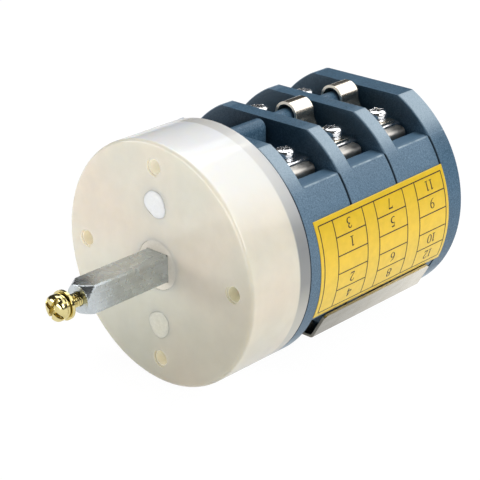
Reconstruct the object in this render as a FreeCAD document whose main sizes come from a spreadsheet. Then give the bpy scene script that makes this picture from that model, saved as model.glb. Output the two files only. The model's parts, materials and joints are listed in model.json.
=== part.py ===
# Motor reversing switch: three contact stages behind a nylon front cover, worked by an 8 mm square shaft.
#
# Frame: X to the right, Y back along the shaft, Z up, in millimetres.
# The origin is the centre of the cover's front face, which is also the centre of the four mounting holes.

import FreeCAD, Part
import Sketcher
import math
import os

V = FreeCAD.Vector
AXIS_X, AXIS_Y, AXIS_Z = V(1, 0, 0), V(0, 1, 0), V(0, 0, 1)

doc = FreeCAD.newDocument("reversing_switch")
sheet = doc.addObject("Spreadsheet::Sheet", "sizes")


# Driving dimensions

DRIVING = [
    ("body_dia", 70.0, "outside diameter of the cover, the flanges and the end plate"),
    ("cover_len", 22.35, "depth of the front cover"),
    ("cover_wall", 5.0, "front wall of the cover"),
    ("stage_pitch", 19.81, "depth of one contact stage"),
    ("flange_thick", 5.0, "front wall of each stage housing"),
    ("end_thick", 7.22, "end plate"),
    ("chord_cut", 4.1, "depth of the flat cut on the top and bottom of the flanges"),
    ("deck_drop", 9.6, "flat cut down to the terminal deck"),
    ("side_step", 0.2, "how far the side blocks stand back from the flange rims"),
    ("side_wall", 5.5, "rim to the contact tunnel"),
    ("edge_break", 0.35, "small chamfer round the moulded rims"),
    ("pocket_rim", 12.4, "rim to the outer edge of a terminal pocket"),
    ("pocket_wide", 12.4, "terminal pocket, along the shaft, open to the stage behind it"),
    ("terminal_in", 8.75, "outer edge of a pocket to its terminal screw"),
    ("terminal_y", 13.3, "front of a stage to its terminal screws"),
    ("screw_dia", 4.0, "thread of the terminal, tie and shaft screws"),
    ("strip_thick", 0.8, "thickness of the formed contact and jumper strip"),
    ("mount_edge", 7.0, "rim to the mounting holes"),
    ("mount_hole", 4.2, "mounting hole diameter"),
    ("journal_dia", 14.0, "round bearing journals on the cams, the driver and the rear bush"),
    ("tie_gap", 10.6, "journal to a tie screw"),
    ("run_gap", 0.05, "radial clearance of a running fit"),
    ("shaft_side", 8.0, "across the flats of the square shaft"),
    ("tip_out", 28.2, "shaft end in front of the cover"),
    ("cam_throw", 2.6, "offset of a cam disc from the shaft axis"),
    ("cam_low", 0.4, "cam disc above its journal on the low side"),
    ("nose_gap", 0.3, "cam to plunger at rest"),
    ("plunger_wide", 8.0, "guide window of a plunger, along the shaft"),
    ("plunger_high", 8.1, "guide window of a plunger, up and down"),
    ("contact_reach", 8.7, "axis to a contact button, up and down"),
    ("label_thick", 0.15, "printed label"),
    ("label_low", 27.4, "lower edge of the label, in degrees below the right-hand side"),
    ("label_sweep", 49.9, "label from its lower to its upper edge, in degrees"),
]


class Size:
    """A length together with the sheet formula that gives it."""

    def __init__(self, value, formula):
        self.value = float(value)
        self.formula = formula

    def join(self, sign, other, swap=False):
        if not isinstance(other, Size):
            other = Size(other, repr(float(other)))
        left, right = (other, self) if swap else (self, other)
        amount = {
            "+": left.value + right.value,
            "-": left.value - right.value,
            "*": left.value * right.value,
            "/": left.value / right.value if right.value else 0.0,
        }[sign]
        return Size(amount, "(%s %s %s)" % (left.formula, sign, right.formula))

    def __add__(self, other):
        return self.join("+", other)

    def __radd__(self, other):
        return self.join("+", other, swap=True)

    def __sub__(self, other):
        return self.join("-", other)

    def __rsub__(self, other):
        return self.join("-", other, swap=True)

    def __mul__(self, other):
        return self.join("*", other)

    def __rmul__(self, other):
        return self.join("*", other, swap=True)

    def __truediv__(self, other):
        return self.join("/", other)

    def __neg__(self):
        return self.join("-", 0.0, swap=True)


def fill_sheet():
    """Write the driving dimensions, one row each, and return them by name."""
    named = {}
    for row, (alias, number, meaning) in enumerate(DRIVING, start=1):
        sheet.set("A%d" % row, alias)
        sheet.set("B%d" % row, "%g" % number)
        sheet.set("C%d" % row, meaning)
        sheet.setAlias("B%d" % row, alias)
        named[alias] = Size(number, "sizes." + alias)
    doc.recompute()
    return named


def fixed(number):
    """A length that belongs to one small feature and drives nothing else."""
    return number if isinstance(number, Size) else Size(number, repr(float(number)))


def sine(angle):
    """Sine of a size in degrees."""
    return Size(math.sin(math.radians(angle.value)), "sin(%s * 1 deg)" % angle.formula)


S = fill_sheet()
BODY_R = S["body_dia"] / 2
HALF_SHAFT = S["shaft_side"] / 2
SCREW_R = S["screw_dia"] / 2
JOURNAL_R = S["journal_dia"] / 2
BORE_R = JOURNAL_R + S["run_gap"]
CAM_R = JOURNAL_R + S["cam_throw"] + S["cam_low"]
STRIP = S["strip_thick"]
STAGES_END = S["cover_len"] + 3 * S["stage_pitch"]
BACK_FACE = STAGES_END + S["end_thick"]
CHORD = BODY_R - S["chord_cut"]
DECK = CHORD - S["deck_drop"]
POCKET_OUT = BODY_R - S["pocket_rim"]
TERMINAL_X = POCKET_OUT - S["terminal_in"]
TIE_HEIGHT = JOURNAL_R + S["tie_gap"]
WELL_R = SCREW_R + 1.65
POCKET_HALF = S["pocket_wide"] / 2
MOUNT_RADIUS = BODY_R - S["mount_edge"]
LOW_CORNER = BODY_R * sine(S["label_low"]) + 0.39
RIB_HALF = SCREW_R + 0.5
STRIP_OUT = TERMINAL_X + 6.15
SEAT = DECK + 1.1
BRIDGE_FACE = STRIP_OUT + 0.75 + 0.75 * S["cam_throw"]
PLUNGER_BACK = BRIDGE_FACE + 1.7
TUNNEL_X = BODY_R - S["side_wall"]
CHAMBER_SEAT = S["cover_len"] - 4.05
DISC_START = CHAMBER_SEAT - 2.9


# Drawing helpers

def bind(thing, prop, size):
    """Tie a property to its formula."""
    thing.setExpression(prop, fixed(size).formula)


def new_body(label):
    body = doc.addObject("PartDesign::Body", label)
    body.Label = label
    return body


def plane_of(body, role):
    return [part for part in body.Origin.OriginFeatures if part.Role == role][0]


def sketch(body, name, plane, level):
    """A sketch on one of the body's own planes, moved along that plane's axis to a level."""
    drawn = body.newObject("Sketcher::SketchObject", name)
    drawn.AttachmentSupport = [(plane_of(body, plane), "")]
    drawn.MapMode = "FlatFace"
    level = fixed(level)
    bind(drawn, "AttachmentOffset.Base.z", -level if plane == "XZ_Plane" else level)
    return drawn


def hold(drawn, shape, point, across, up):
    """Fix one point of a sketch shape by its two distances from the sketch origin."""
    for kind, size in (("DistanceX", across), ("DistanceY", up)):
        index = drawn.addConstraint(Sketcher.Constraint(kind, -1, 1, shape, point, size.value))
        drawn.setExpression("Constraints[%d]" % index, size.formula)


def ring(drawn, across, up, radius):
    across, up, radius = fixed(across), fixed(up), fixed(radius)
    circle = Part.Circle(V(across.value, up.value, 0), AXIS_Z, radius.value)
    shape = drawn.addGeometry(circle, False)
    index = drawn.addConstraint(Sketcher.Constraint("Radius", shape, radius.value))
    drawn.setExpression("Constraints[%d]" % index, radius.formula)
    hold(drawn, shape, 3, across, up)


def outline(drawn, corners):
    """A closed polygon; every corner is held by its own two distances."""
    corners = [(fixed(across), fixed(up)) for across, up in corners]
    sides = []
    for place, (across, up) in enumerate(corners):
        nxt_across, nxt_up = corners[(place + 1) % len(corners)]
        line = Part.LineSegment(V(across.value, up.value, 0), V(nxt_across.value, nxt_up.value, 0))
        sides.append(drawn.addGeometry(line, False))
    for place, side in enumerate(sides):
        after = sides[(place + 1) % len(sides)]
        drawn.addConstraint(Sketcher.Constraint("Coincident", side, 2, after, 1))
    for side, (across, up) in zip(sides, corners):
        hold(drawn, side, 1, across, up)


def wire_section(drawn, across, up, radius):
    """Eight-sided wire section; the corners lie on the wire's round."""
    near_side, far_side = 0.3827 * radius, 0.9239 * radius
    outline(drawn, [(across + x, up + y) for x, y in (
        (near_side, -far_side), (far_side, -near_side), (far_side, near_side), (near_side, far_side),
        (-near_side, far_side), (-far_side, near_side), (-far_side, -near_side), (-near_side, -far_side))])


def block(drawn, left, right, low, high):
    outline(drawn, [(left, low), (right, low), (right, high), (left, high)])


def in_order(first, second):
    """Two sizes with the smaller one first."""
    return sorted((fixed(first), fixed(second)), key=lambda size: size.value)


def extrude(body, name, plane, start, length, draw, cut=False):
    """Pad or pocket from a level towards the plane's positive axis."""
    drawn = sketch(body, name + "_sketch", plane, start)
    draw(drawn)
    feature = body.newObject("PartDesign::Pocket" if cut else "PartDesign::Pad", name)
    feature.Profile = drawn
    bind(feature, "Length", length)
    towards_back = plane == "XZ_Plane"
    feature.Reversed = towards_back if not cut else not towards_back
    drawn.Visibility = False
    return feature


def pad(body, name, plane, start, length, draw):
    return extrude(body, name, plane, start, length, draw)


def pocket(body, name, plane, start, length, draw):
    return extrude(body, name, plane, start, length, draw, cut=True)


def edges_where(body, test):
    """Names of the body's edges whose middle point passes a test."""
    doc.recompute()
    names = []
    for index, edge in enumerate(body.Shape.Edges, start=1):
        middle = edge.valueAt((edge.FirstParameter + edge.LastParameter) / 2)
        if test(middle, edge):
            names.append("Edge%d" % index)
    return names


def soften(body, name, radius, test, chamfer=False):
    """Fillet or chamfer the edges that pass a test."""
    names = edges_where(body, test)
    kind = "PartDesign::Chamfer" if chamfer else "PartDesign::Fillet"
    base = body.Tip
    feature = body.newObject(kind, name)
    feature.Base = (base, names)
    bind(feature, "Size" if chamfer else "Radius", radius)
    return feature


def near(value, size, slack=0.02):
    return abs(value - fixed(size).value) < slack


def is_round(edge, radius):
    return hasattr(edge.Curve, "Radius") and near(edge.Curve.Radius, radius)


def runs_along(edge, axis):
    return abs(edge.tangentAt(edge.FirstParameter).dot(axis)) > 0.9


def place(thing, across=0.0, along=0.0, up=0.0, axis=AXIS_Z, turn=0.0):
    """Turn a thing about its own origin, then carry it to a bound place."""
    thing.Placement = FreeCAD.Placement(V(0, 0, 0), FreeCAD.Rotation(axis, turn))
    bind(thing, "Placement.Base.x", across)
    bind(thing, "Placement.Base.y", along)
    bind(thing, "Placement.Base.z", up)


def copy_of(body, label):
    link = doc.addObject("App::Link", label)
    link.LinkedObject = body
    return link


def stage_front(stage):
    """Front face of a stage, counted from 0."""
    return S["cover_len"] + stage * S["stage_pitch"]


def terminal_line(stage):
    """Distance from the front face to the terminal screws of a stage."""
    return stage_front(stage) + S["terminal_y"]


# Casing

def cut_chords(body, start, length):
    """Flat cuts on the top and bottom of a round plate."""
    chord, reach = CHORD, BODY_R + 1
    pocket(body, "top_flat", "XZ_Plane", start, length,
           lambda drawn: block(drawn, -reach, reach, chord, reach))
    pocket(body, "bottom_flat", "XZ_Plane", start, length,
           lambda drawn: block(drawn, -reach, reach, -reach, -chord))


def rim_chamfers(body, start, end):
    """Small chamfers round both ends of a plain disc, so joints read as fine grooves."""
    soften(body, "rim_break", S["edge_break"],
           lambda middle, edge: near(middle.y, start) or near(middle.y, end), chamfer=True)


def front_cover():
    """Cream nylon cap: thick front wall, hollow for the return spring, thin lip over the bearing plate."""
    body = new_body("front_cover")
    depth, wall, seat = S["cover_len"], S["cover_wall"], CHAMBER_SEAT
    hollow_r, lip_r = BODY_R - 3.4, BODY_R - 1.6
    pad(body, "shell", "XZ_Plane", 0, depth, lambda drawn: ring(drawn, 0, 0, BODY_R))
    soften(body, "front_round", 1.0, lambda middle, edge: near(middle.y, 0))
    pocket(body, "hollow", "XZ_Plane", wall, depth, lambda drawn: ring(drawn, 0, 0, hollow_r))
    pocket(body, "lip_seat", "XZ_Plane", seat, depth, lambda drawn: ring(drawn, 0, 0, lip_r))

    spring_post = (S["journal_dia"] + 3.6) / 2
    inside = seat - wall
    pad(body, "spring_post", "XZ_Plane", wall, inside - 0.4,
        lambda drawn: block(drawn, -spring_post, spring_post, TIE_HEIGHT - 2.6, MOUNT_RADIUS - 3))
    pad(body, "lower_tie_boss", "XZ_Plane", wall, inside,
        lambda drawn: ring(drawn, 0, -TIE_HEIGHT, SCREW_R + 2.3))
    for name, across, up in mounting_places():
        pad(body, "mount_boss_" + name, "XZ_Plane", wall, inside,
            lambda drawn: ring(drawn, across, up, S["mount_hole"] / 2 + 2.2))
    for name, side in (("right", 1), ("left", -1)):
        inner, outer = side * (finger_inside() - 0.1), side * (hollow_r + 1.0)
        pad(body, "stop_rib_" + name, "XZ_Plane", wall, DISC_START - wall - 2.4,
            lambda drawn: block(drawn, *in_order(inner, outer), -3.0, 1.15))

    pocket(body, "driver_bore", "XZ_Plane", 0, depth, lambda drawn: ring(drawn, 0, 0, BORE_R))
    for name, across, up in mounting_places():
        pocket(body, "mount_hole_" + name, "XZ_Plane", 0, seat - 4.3,
               lambda drawn: ring(drawn, across, up, S["mount_hole"] / 2))
        pocket(body, "mount_sink_" + name, "XZ_Plane", 0, 0.5,
               lambda drawn: ring(drawn, across, up, S["mount_hole"] / 2 + 0.45))
    for name, up in (("top", TIE_HEIGHT), ("bottom", -TIE_HEIGHT)):
        pocket(body, "tie_hole_" + name, "XZ_Plane", 0, depth,
               lambda drawn: ring(drawn, 0, up, SCREW_R + 0.2))
        pocket(body, "nut_well_" + name, "XZ_Plane", 0, wall - 0.4,
               lambda drawn: ring(drawn, 0, up, WELL_R))
    return body


def mounting_places():
    """Twelve, three, six and nine o'clock on the mounting circle."""
    reach = MOUNT_RADIUS
    return [("top", 0, reach), ("right", reach, 0), ("bottom", 0, -reach), ("left", -reach, 0)]


def hole_plugs():
    """Two round plugs that close the nut wells in the cover."""
    plug = new_body("hole_plug")
    pad(plug, "cap", "XZ_Plane", 0.25, 1.4, lambda drawn: ring(drawn, 0, 0, WELL_R - 0.15))
    soften(plug, "face_round", 0.4, lambda middle, edge: near(middle.y, 0.25))
    return group_of(plug, "hole_plugs", [(0, 0, TIE_HEIGHT), (0, 0, -TIE_HEIGHT)])


def bearing_plate():
    """Plate under the cover's lip; it closes the spring chamber and carries the driver's rear journal."""
    body = new_body("bearing_plate")
    back = S["cover_len"]
    start = CHAMBER_SEAT + 0.05
    pad(body, "disc", "XZ_Plane", start, back - start, lambda drawn: ring(drawn, 0, 0, BODY_R - 1.8))
    pocket(body, "bore", "XZ_Plane", start, back - start, lambda drawn: ring(drawn, 0, 0, BORE_R))
    for name, up in (("top", TIE_HEIGHT), ("bottom", -TIE_HEIGHT)):
        pocket(body, "tie_hole_" + name, "XZ_Plane", start, back - start,
               lambda drawn: ring(drawn, 0, up, SCREW_R + 0.2))
    return body


def stage_housing(stage, label):
    """One contact chamber: front wall, side blocks, terminal decks, barrier ribs and plunger guides."""
    body = new_body(label)
    front, depth = stage_front(stage), S["stage_pitch"]
    behind = front + S["flange_thick"]
    deep = depth - S["flange_thick"]
    reach = BODY_R + 1
    chamber_r = CAM_R + S["cam_throw"] + 1.4
    tunnel_z = bridge_half() + 1.7
    pad(body, "front_wall", "XZ_Plane", front, S["flange_thick"], lambda drawn: ring(drawn, 0, 0, BODY_R))
    pad(body, "chamber_block", "XZ_Plane", front, depth,
        lambda drawn: ring(drawn, 0, 0, BODY_R - S["side_step"]))
    rim_chamfers(body, front, front + depth)
    cut_chords(body, front, depth)

    for side, sign in (("right", 1), ("left", -1)):
        for level, way in (("top", 1), ("bottom", -1)):
            pocket(body, "notch_%s_%s" % (level, side), "XZ_Plane", behind, deep, lambda drawn: block(
                drawn, *in_order(sign * RIB_HALF, sign * reach), *in_order(way * DECK, way * reach)))
    for side, sign in (("right", 1), ("left", -1)):
        pocket(body, "wire_corner_" + side, "XZ_Plane", behind, S["terminal_y"] - S["flange_thick"] + 3.4,
               lambda drawn: block(drawn, *in_order(sign * POCKET_OUT, sign * reach), -reach, -LOW_CORNER))

    rib_end = front + depth - 1.5
    for level, way in (("top", 1), ("bottom", -1)):
        pocket(body, "rib_tip_" + level, "XZ_Plane", rib_end, 2.0, lambda drawn: block(
            drawn, -RIB_HALF - 0.1, RIB_HALF + 0.1, *in_order(way * DECK, way * reach)))
    soften(body, "rib_rounds", RIB_HALF - 0.05,
           lambda middle, edge: runs_along(edge, AXIS_Y)
           and near(abs(middle.x), RIB_HALF) and near(abs(middle.z), CHORD))

    pocket(body, "cam_chamber", "XZ_Plane", behind, deep, lambda drawn: ring(drawn, 0, 0, chamber_r))
    tunnel_in = STRIP_OUT - 3.4
    for side, sign in (("right", 1), ("left", -1)):
        pocket(body, "contact_tunnel_" + side, "XZ_Plane", behind, deep, lambda drawn: block(
            drawn, *in_order(sign * tunnel_in, sign * TUNNEL_X), -tunnel_z, tunnel_z))
    window_y, window_z = S["plunger_wide"] / 2, S["plunger_high"] / 2
    middle_y = terminal_line(stage)
    pocket(body, "plunger_windows", "YZ_Plane", -tunnel_in - 1.4, 2 * tunnel_in + 2.8,
           lambda drawn: block(drawn, middle_y - window_y, middle_y + window_y, -window_z, window_z))

    well_depth, relief = fixed(3.0), fixed(3.4)
    floor = DECK - well_depth
    slot_depth = floor - tunnel_z + 0.5
    for level, way in (("top", 1), ("bottom", -1)):
        for side, sign in (("right", 1), ("left", -1)):
            name = "%s_%s" % (level, side)
            pocket(body, "terminal_well_" + name, "XY_Plane", floor if way > 0 else -DECK, well_depth,
                   lambda drawn: block(drawn, *in_order(sign * (TERMINAL_X - 7.05), sign * POCKET_OUT),
                                       middle_y - POCKET_HALF, front + depth + 0.5))
            slot = in_order(sign * (STRIP_OUT - STRIP - 0.2), sign * (STRIP_OUT + 0.2))
            pocket(body, "strip_slot_" + name, "XY_Plane", floor - slot_depth if way > 0 else -floor,
                   slot_depth, lambda drawn: block(
                       drawn, *slot, middle_y - POCKET_HALF + 0.4, middle_y + POCKET_HALF - 0.4))
            pocket(body, "screw_relief_" + name, "XY_Plane", floor - relief if way > 0 else -floor, relief,
                   lambda drawn: ring(drawn, sign * TERMINAL_X, middle_y, SCREW_R + 0.3))

    pocket(body, "bore", "XZ_Plane", front, depth, lambda drawn: ring(drawn, 0, 0, BORE_R))
    for name, up in (("top", TIE_HEIGHT), ("bottom", -TIE_HEIGHT)):
        pocket(body, "tie_hole_" + name, "XZ_Plane", front, depth,
               lambda drawn: ring(drawn, 0, up, SCREW_R + 0.2))
    return body


def end_plate():
    """Rear plate with a blind bearing for the shaft end and two wells for the tie screw heads."""
    body = new_body("end_plate")
    front, thick = STAGES_END, S["end_thick"]
    pad(body, "disc", "XZ_Plane", front, thick, lambda drawn: ring(drawn, 0, 0, BODY_R))
    rim_chamfers(body, front, front + thick)
    cut_chords(body, front, thick)
    pocket(body, "blind_bearing", "XZ_Plane", front, 4.0, lambda drawn: ring(drawn, 0, 0, BORE_R))
    for name, up in (("top", TIE_HEIGHT), ("bottom", -TIE_HEIGHT)):
        pocket(body, "tie_hole_" + name, "XZ_Plane", front, thick,
               lambda drawn: ring(drawn, 0, up, SCREW_R + 0.2))
        pocket(body, "head_well_" + name, "XZ_Plane", BACK_FACE - 3.0, 3.0,
               lambda drawn: ring(drawn, 0, up, SCREW_R + 2.2))
    return body


def label():
    """Printed sticker wrapped round the right-hand side."""
    body = new_body("label")
    drawn = sketch(body, "band_sketch", "XY_Plane", 0)
    block(drawn, BODY_R, BODY_R + S["label_thick"], S["cover_len"] + 4.55, STAGES_END + 1.32)
    band = body.newObject("PartDesign::Revolution", "band")
    band.Profile = drawn
    band.ReferenceAxis = (drawn, ["V_Axis"])
    bind(band, "Angle", S["label_sweep"])
    band.Reversed = True
    place(body, axis=AXIS_Y, turn=S["label_low"].value)
    return body


# Fastenings of the stack

def tie_screw():
    """Long screw from the end plate to the nut behind the cover's front wall."""
    body = new_body("tie_screw")
    seat = BACK_FACE - 2.95
    pad(body, "shank", "XZ_Plane", 2.1, seat - 2.1, lambda drawn: ring(drawn, 0, 0, SCREW_R - 0.05))
    pad(body, "head", "XZ_Plane", seat, 2.6, lambda drawn: ring(drawn, 0, 0, SCREW_R + 1.75))
    soften(body, "head_round", 0.8, lambda middle, edge: near(middle.y, seat + 2.6), chamfer=True)
    pocket(body, "slot", "XZ_Plane", seat + 1.3, 1.5, lambda drawn: block(drawn, -4, 4, -0.55, 0.55))
    return group_of(body, "tie_screws", [(0, 0, TIE_HEIGHT), (0, 0, -TIE_HEIGHT)])


def tie_nut():
    """Hexagon nut that stands on its points in the well, under the plug."""
    body = new_body("tie_nut")
    thick = S["cover_wall"] - 2.4
    flat, half_side, point = 2.95, 1.703, 3.406
    pad(body, "nut", "XZ_Plane", 1.8, thick, lambda drawn: outline(drawn, [
        (flat, -half_side), (flat, half_side), (0, point),
        (-flat, half_side), (-flat, -half_side), (0, -point)]))
    pocket(body, "thread_hole", "XZ_Plane", 1.8, thick, lambda drawn: ring(drawn, 0, 0, SCREW_R))
    return group_of(body, "tie_nuts", [(0, 0, TIE_HEIGHT), (0, 0, -TIE_HEIGHT)])


def group_of(body, label, places, turns=None):
    """Several copies of one small piece, kept as separate solids of one node."""
    copies = []
    for index, (across, along, up) in enumerate(places):
        link = copy_of(body, "%s_%d" % (label, index + 1))
        place(link, across, along, up, AXIS_Y, turns[index] if turns else 0.0)
        copies.append(link)
    group = doc.addObject("Part::Compound", label)
    group.Label = label
    group.Links = copies
    return group


# Shaft and everything that turns with it

def shaft():
    """Square steel shaft with broken edges, a turned tip and a tapped end."""
    body = new_body("shaft")
    tip, rear = -S["tip_out"], STAGES_END + 3.7
    pad(body, "bar", "XZ_Plane", tip, rear - tip,
        lambda drawn: block(drawn, -HALF_SHAFT, HALF_SHAFT, -HALF_SHAFT, HALF_SHAFT))
    soften(body, "edge_break", 0.45, lambda middle, edge: runs_along(edge, AXIS_Y), chamfer=True)
    face_r, corner_r, cone_slope = HALF_SHAFT - 0.1, 1.5 * HALF_SHAFT, 0.577
    cone_end = tip + (corner_r - face_r) / cone_slope
    turned = sketch(body, "tip_profile", "XY_Plane", 0)
    outline(turned, [(face_r, tip - 1), (face_r, tip), (corner_r, cone_end),
                     (2 * corner_r, cone_end), (2 * corner_r, tip - 1)])
    groove = body.newObject("PartDesign::Groove", "turned_tip")
    groove.Profile = turned
    groove.ReferenceAxis = (turned, ["V_Axis"])
    groove.Angle = 360.0
    pocket(body, "tapped_hole", "XZ_Plane", tip, 13.0, lambda drawn: ring(drawn, 0, 0, SCREW_R))
    return body


def square_hole(body, start, length):
    """Broached hole that slides over the shaft."""
    half = HALF_SHAFT + 0.02
    pocket(body, "square_hole", "XZ_Plane", start, length,
           lambda drawn: block(drawn, -half, half, -half, half))


def driver():
    """Hub that the shaft turns; its finger winds the return spring and meets the stop ribs."""
    body = new_body("driver")
    front, rear = fixed(0.15), S["cover_len"] - 0.15
    outside, half_angle, start = TIE_HEIGHT - 4.5, 38.0, S["cover_wall"] + 0.8
    pad(body, "hub", "XZ_Plane", front, rear - front, lambda drawn: ring(drawn, 0, 0, JOURNAL_R))
    pad(body, "disc", "XZ_Plane", DISC_START, 2.4, lambda drawn: ring(drawn, 0, 0, outside))
    finger = sketch(body, "finger_sketch", "XZ_Plane", start)
    add_sector(finger, finger_inside(), outside, 90.0 - half_angle, 90.0 + half_angle)
    lug = body.newObject("PartDesign::Pad", "finger")
    lug.Profile = finger
    bind(lug, "Length", DISC_START - start + 0.5)
    lug.Reversed = True
    square_hole(body, front, rear - front)
    return body


def coil_radius():
    """Axis to the middle of the return spring's wire."""
    return JOURNAL_R + 2.65


def finger_inside():
    """Inner face of the driver's finger, clear of the return spring."""
    return coil_radius() + 1.35


def add_sector(drawn, inner, outer, first, last):
    """Closed piece of a ring between two angles, in degrees from the across axis."""
    first, last = math.radians(first), math.radians(last)
    circles = [Part.Circle(V(0, 0, 0), AXIS_Z, radius.value) for radius in (inner, outer)]
    arcs = [Part.ArcOfCircle(circle, first, last) for circle in circles]
    small, large = [drawn.addGeometry(arc, False) for arc in arcs]
    sides = [drawn.addGeometry(Part.LineSegment(arcs[0].value(angle), arcs[1].value(angle)), False)
             for angle in (first, last)]
    for shape, radius in ((small, inner), (large, outer)):
        drawn.addConstraint(Sketcher.Constraint("Coincident", shape, 3, -1, 1))
        index = drawn.addConstraint(Sketcher.Constraint("Radius", shape, radius.value))
        drawn.setExpression("Constraints[%d]" % index, radius.formula)
    for side, point in ((sides[0], 1), (sides[1], 2)):
        drawn.addConstraint(Sketcher.Constraint("Coincident", side, 1, small, point))
        drawn.addConstraint(Sketcher.Constraint("Coincident", side, 2, large, point))
    drawn.addConstraint(Sketcher.Constraint("Angle", sides[0], first))
    drawn.addConstraint(Sketcher.Constraint("Angle", sides[1], last))


def wind(body, name, section, axis, pitch, height):
    """Coil a wire section round one axis of its own sketch."""
    coil = body.newObject("PartDesign::AdditiveHelix", name)
    coil.Profile = section
    coil.ReferenceAxis = (section, [axis])
    coil.Mode = "pitch-height-angle"
    bind(coil, "Pitch", pitch)
    bind(coil, "Height", height)
    return coil


def return_spring():
    """Torsion spring round the driver's hub; its two legs stand either side of the spring post."""
    body = new_body("return_spring")
    wire, coil_r, turns, leg_top = fixed(1.5), coil_radius(), 3.5, TIE_HEIGHT + 3.9
    front = S["cover_wall"] + 1.1
    pitch = (DISC_START - 1.25 - front) / turns
    section = sketch(body, "wire_section", "XY_Plane", 0)
    wire_section(section, coil_r, front, wire / 2)
    wind(body, "coil", section, "V_Axis", pitch, pitch * turns)
    for name, across, along in (("first_leg", coil_r, front), ("last_leg", -coil_r, front + pitch * turns)):
        pad(body, name, "XY_Plane", 0, leg_top, lambda drawn: wire_section(drawn, across, along, wire / 2))
    return body


def cam(stage, label):
    """Round journal with an offset disc that pushes one plunger out while it lets the other in."""
    body = new_body(label)
    front = stage_front(stage) + 0.15
    length = S["stage_pitch"] - 0.3
    half = fixed(3.6)
    pad(body, "journal", "XZ_Plane", front, length, lambda drawn: ring(drawn, 0, 0, JOURNAL_R))
    pad(body, "disc", "XZ_Plane", terminal_line(stage) - half, 2 * half,
        lambda drawn: ring(drawn, 0, S["cam_throw"], CAM_R))
    soften(body, "disc_break", S["cam_low"] / 2, lambda middle, edge: is_round(edge, CAM_R), chamfer=True)
    square_hole(body, front, length)
    return body


def rear_bush():
    body = new_body("rear_bush")
    front, length = STAGES_END + 0.2, fixed(3.5)
    pad(body, "journal", "XZ_Plane", front, length, lambda drawn: ring(drawn, 0, 0, JOURNAL_R))
    square_hole(body, front, length)
    return body


def end_screw():
    """Cross-slotted pan head screw in the shaft end, shown with its turned thread."""
    body = new_body("end_screw")
    seat = -S["tip_out"] - 6.3
    pitch, rings = 0.7, 8
    crest, root = SCREW_R - 0.07, SCREW_R - 0.42
    profile = sketch(body, "profile", "XY_Plane", 0)
    corners = [(0, seat - 2.5), (2.3, seat - 2.5), (3.35, seat - 1.6), (3.6, seat - 0.4), (3.6, seat)]
    corners.append((crest, seat))
    for turn in range(rings):
        corners.append((crest, seat + 1.2 + turn * pitch))
        corners.append((root, seat + 1.2 + (turn + 0.5) * pitch))
    corners += [(crest, seat + 1.2 + rings * pitch), (crest, seat + 17.0), (0, seat + 17.0)]
    outline(profile, corners)
    turned = body.newObject("PartDesign::Revolution", "turned")
    turned.Profile = profile
    turned.ReferenceAxis = (profile, ["V_Axis"])
    turned.Angle = 360.0
    head_front = seat - 2.5
    pocket(body, "slot", "XZ_Plane", head_front, 1.3, lambda drawn: block(drawn, -4, 4, -0.6, 0.6))
    pocket(body, "cross_slot", "XZ_Plane", head_front, 1.3, lambda drawn: block(drawn, -0.6, 0.6, -4, 4))
    place(body, axis=AXIS_Y, turn=28.0)
    return body


def end_spring_washer():
    """Split ring; its two ends stand a little apart along the screw."""
    body = new_body("end_spring_washer")
    front = -S["tip_out"] - 6.25
    pad(body, "ring", "XZ_Plane", front, 1.1, lambda drawn: ring(drawn, 0, 0, 3.6))
    pocket(body, "hole", "XZ_Plane", front, 1.1, lambda drawn: ring(drawn, 0, 0, SCREW_R + 0.1))
    pocket(body, "split", "XZ_Plane", front, 1.1, lambda drawn: outline(
        drawn, [(-5.0, -0.4), (-1.6, 0.2), (-1.6, 0.8), (-5.0, 0.2)]))
    place(body, axis=AXIS_Y, turn=-60.0)
    return body


def end_flat_washer():
    body = new_body("end_flat_washer")
    front = -S["tip_out"] - 5.1
    pad(body, "ring", "XZ_Plane", front, 0.8, lambda drawn: ring(drawn, 0, 0, 4.05))
    pocket(body, "hole", "XZ_Plane", front, 0.8, lambda drawn: ring(drawn, 0, 0, SCREW_R + 0.1))
    return body


# Contacts; each is drawn on the right-hand side about its own middle and turned into its place

QUARTERS = [("right", "top"), ("right", "bottom"), ("left", "top"), ("left", "bottom")]


def into_quarter(body, stage, side, level):
    """Turn a right-hand top piece about the middle of its stage into one of the four quarters."""
    axis, turn = {
        ("right", "top"): (AXIS_Z, 0.0),
        ("right", "bottom"): (AXIS_X, 180.0),
        ("left", "top"): (AXIS_Z, 180.0),
        ("left", "bottom"): (AXIS_Y, 180.0),
    }[(side, level)]
    place(body, 0.0, terminal_line(stage), 0.0, axis, turn)


def fixed_contact(number, stage, side, level):
    """Formed strip: flat under the clamp plate, bent down through the deck to the contact tip."""
    body = new_body("fixed_contact_%d" % number)
    top, out = SEAT, STRIP_OUT
    inner_end, tip = TERMINAL_X - 3.9, S["contact_reach"] - 2.2
    half = POCKET_HALF - 0.6
    pad(body, "strip", "XZ_Plane", -half, 2 * half, lambda drawn: outline(drawn, [
        (inner_end, top), (inner_end, top - STRIP), (out - STRIP, top - STRIP),
        (out - STRIP, tip), (out, tip), (out, top)]))
    soften(body, "outer_bend", 1.7, lambda middle, edge: near(middle.x, out) and near(middle.z, top)
           and runs_along(edge, AXIS_Y))
    soften(body, "inner_bend", 0.9, lambda middle, edge: near(middle.x, out - STRIP)
           and near(middle.z, top - STRIP) and runs_along(edge, AXIS_Y))
    pocket(body, "screw_hole", "XY_Plane", top - 2 * STRIP, 2 * STRIP,
           lambda drawn: ring(drawn, TERMINAL_X, 0, SCREW_R + 0.15))
    pad(body, "contact_button", "YZ_Plane", out - 0.1, 0.5,
        lambda drawn: ring(drawn, 0, S["contact_reach"], 1.7))
    into_quarter(body, stage, side, level)
    return body


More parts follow.
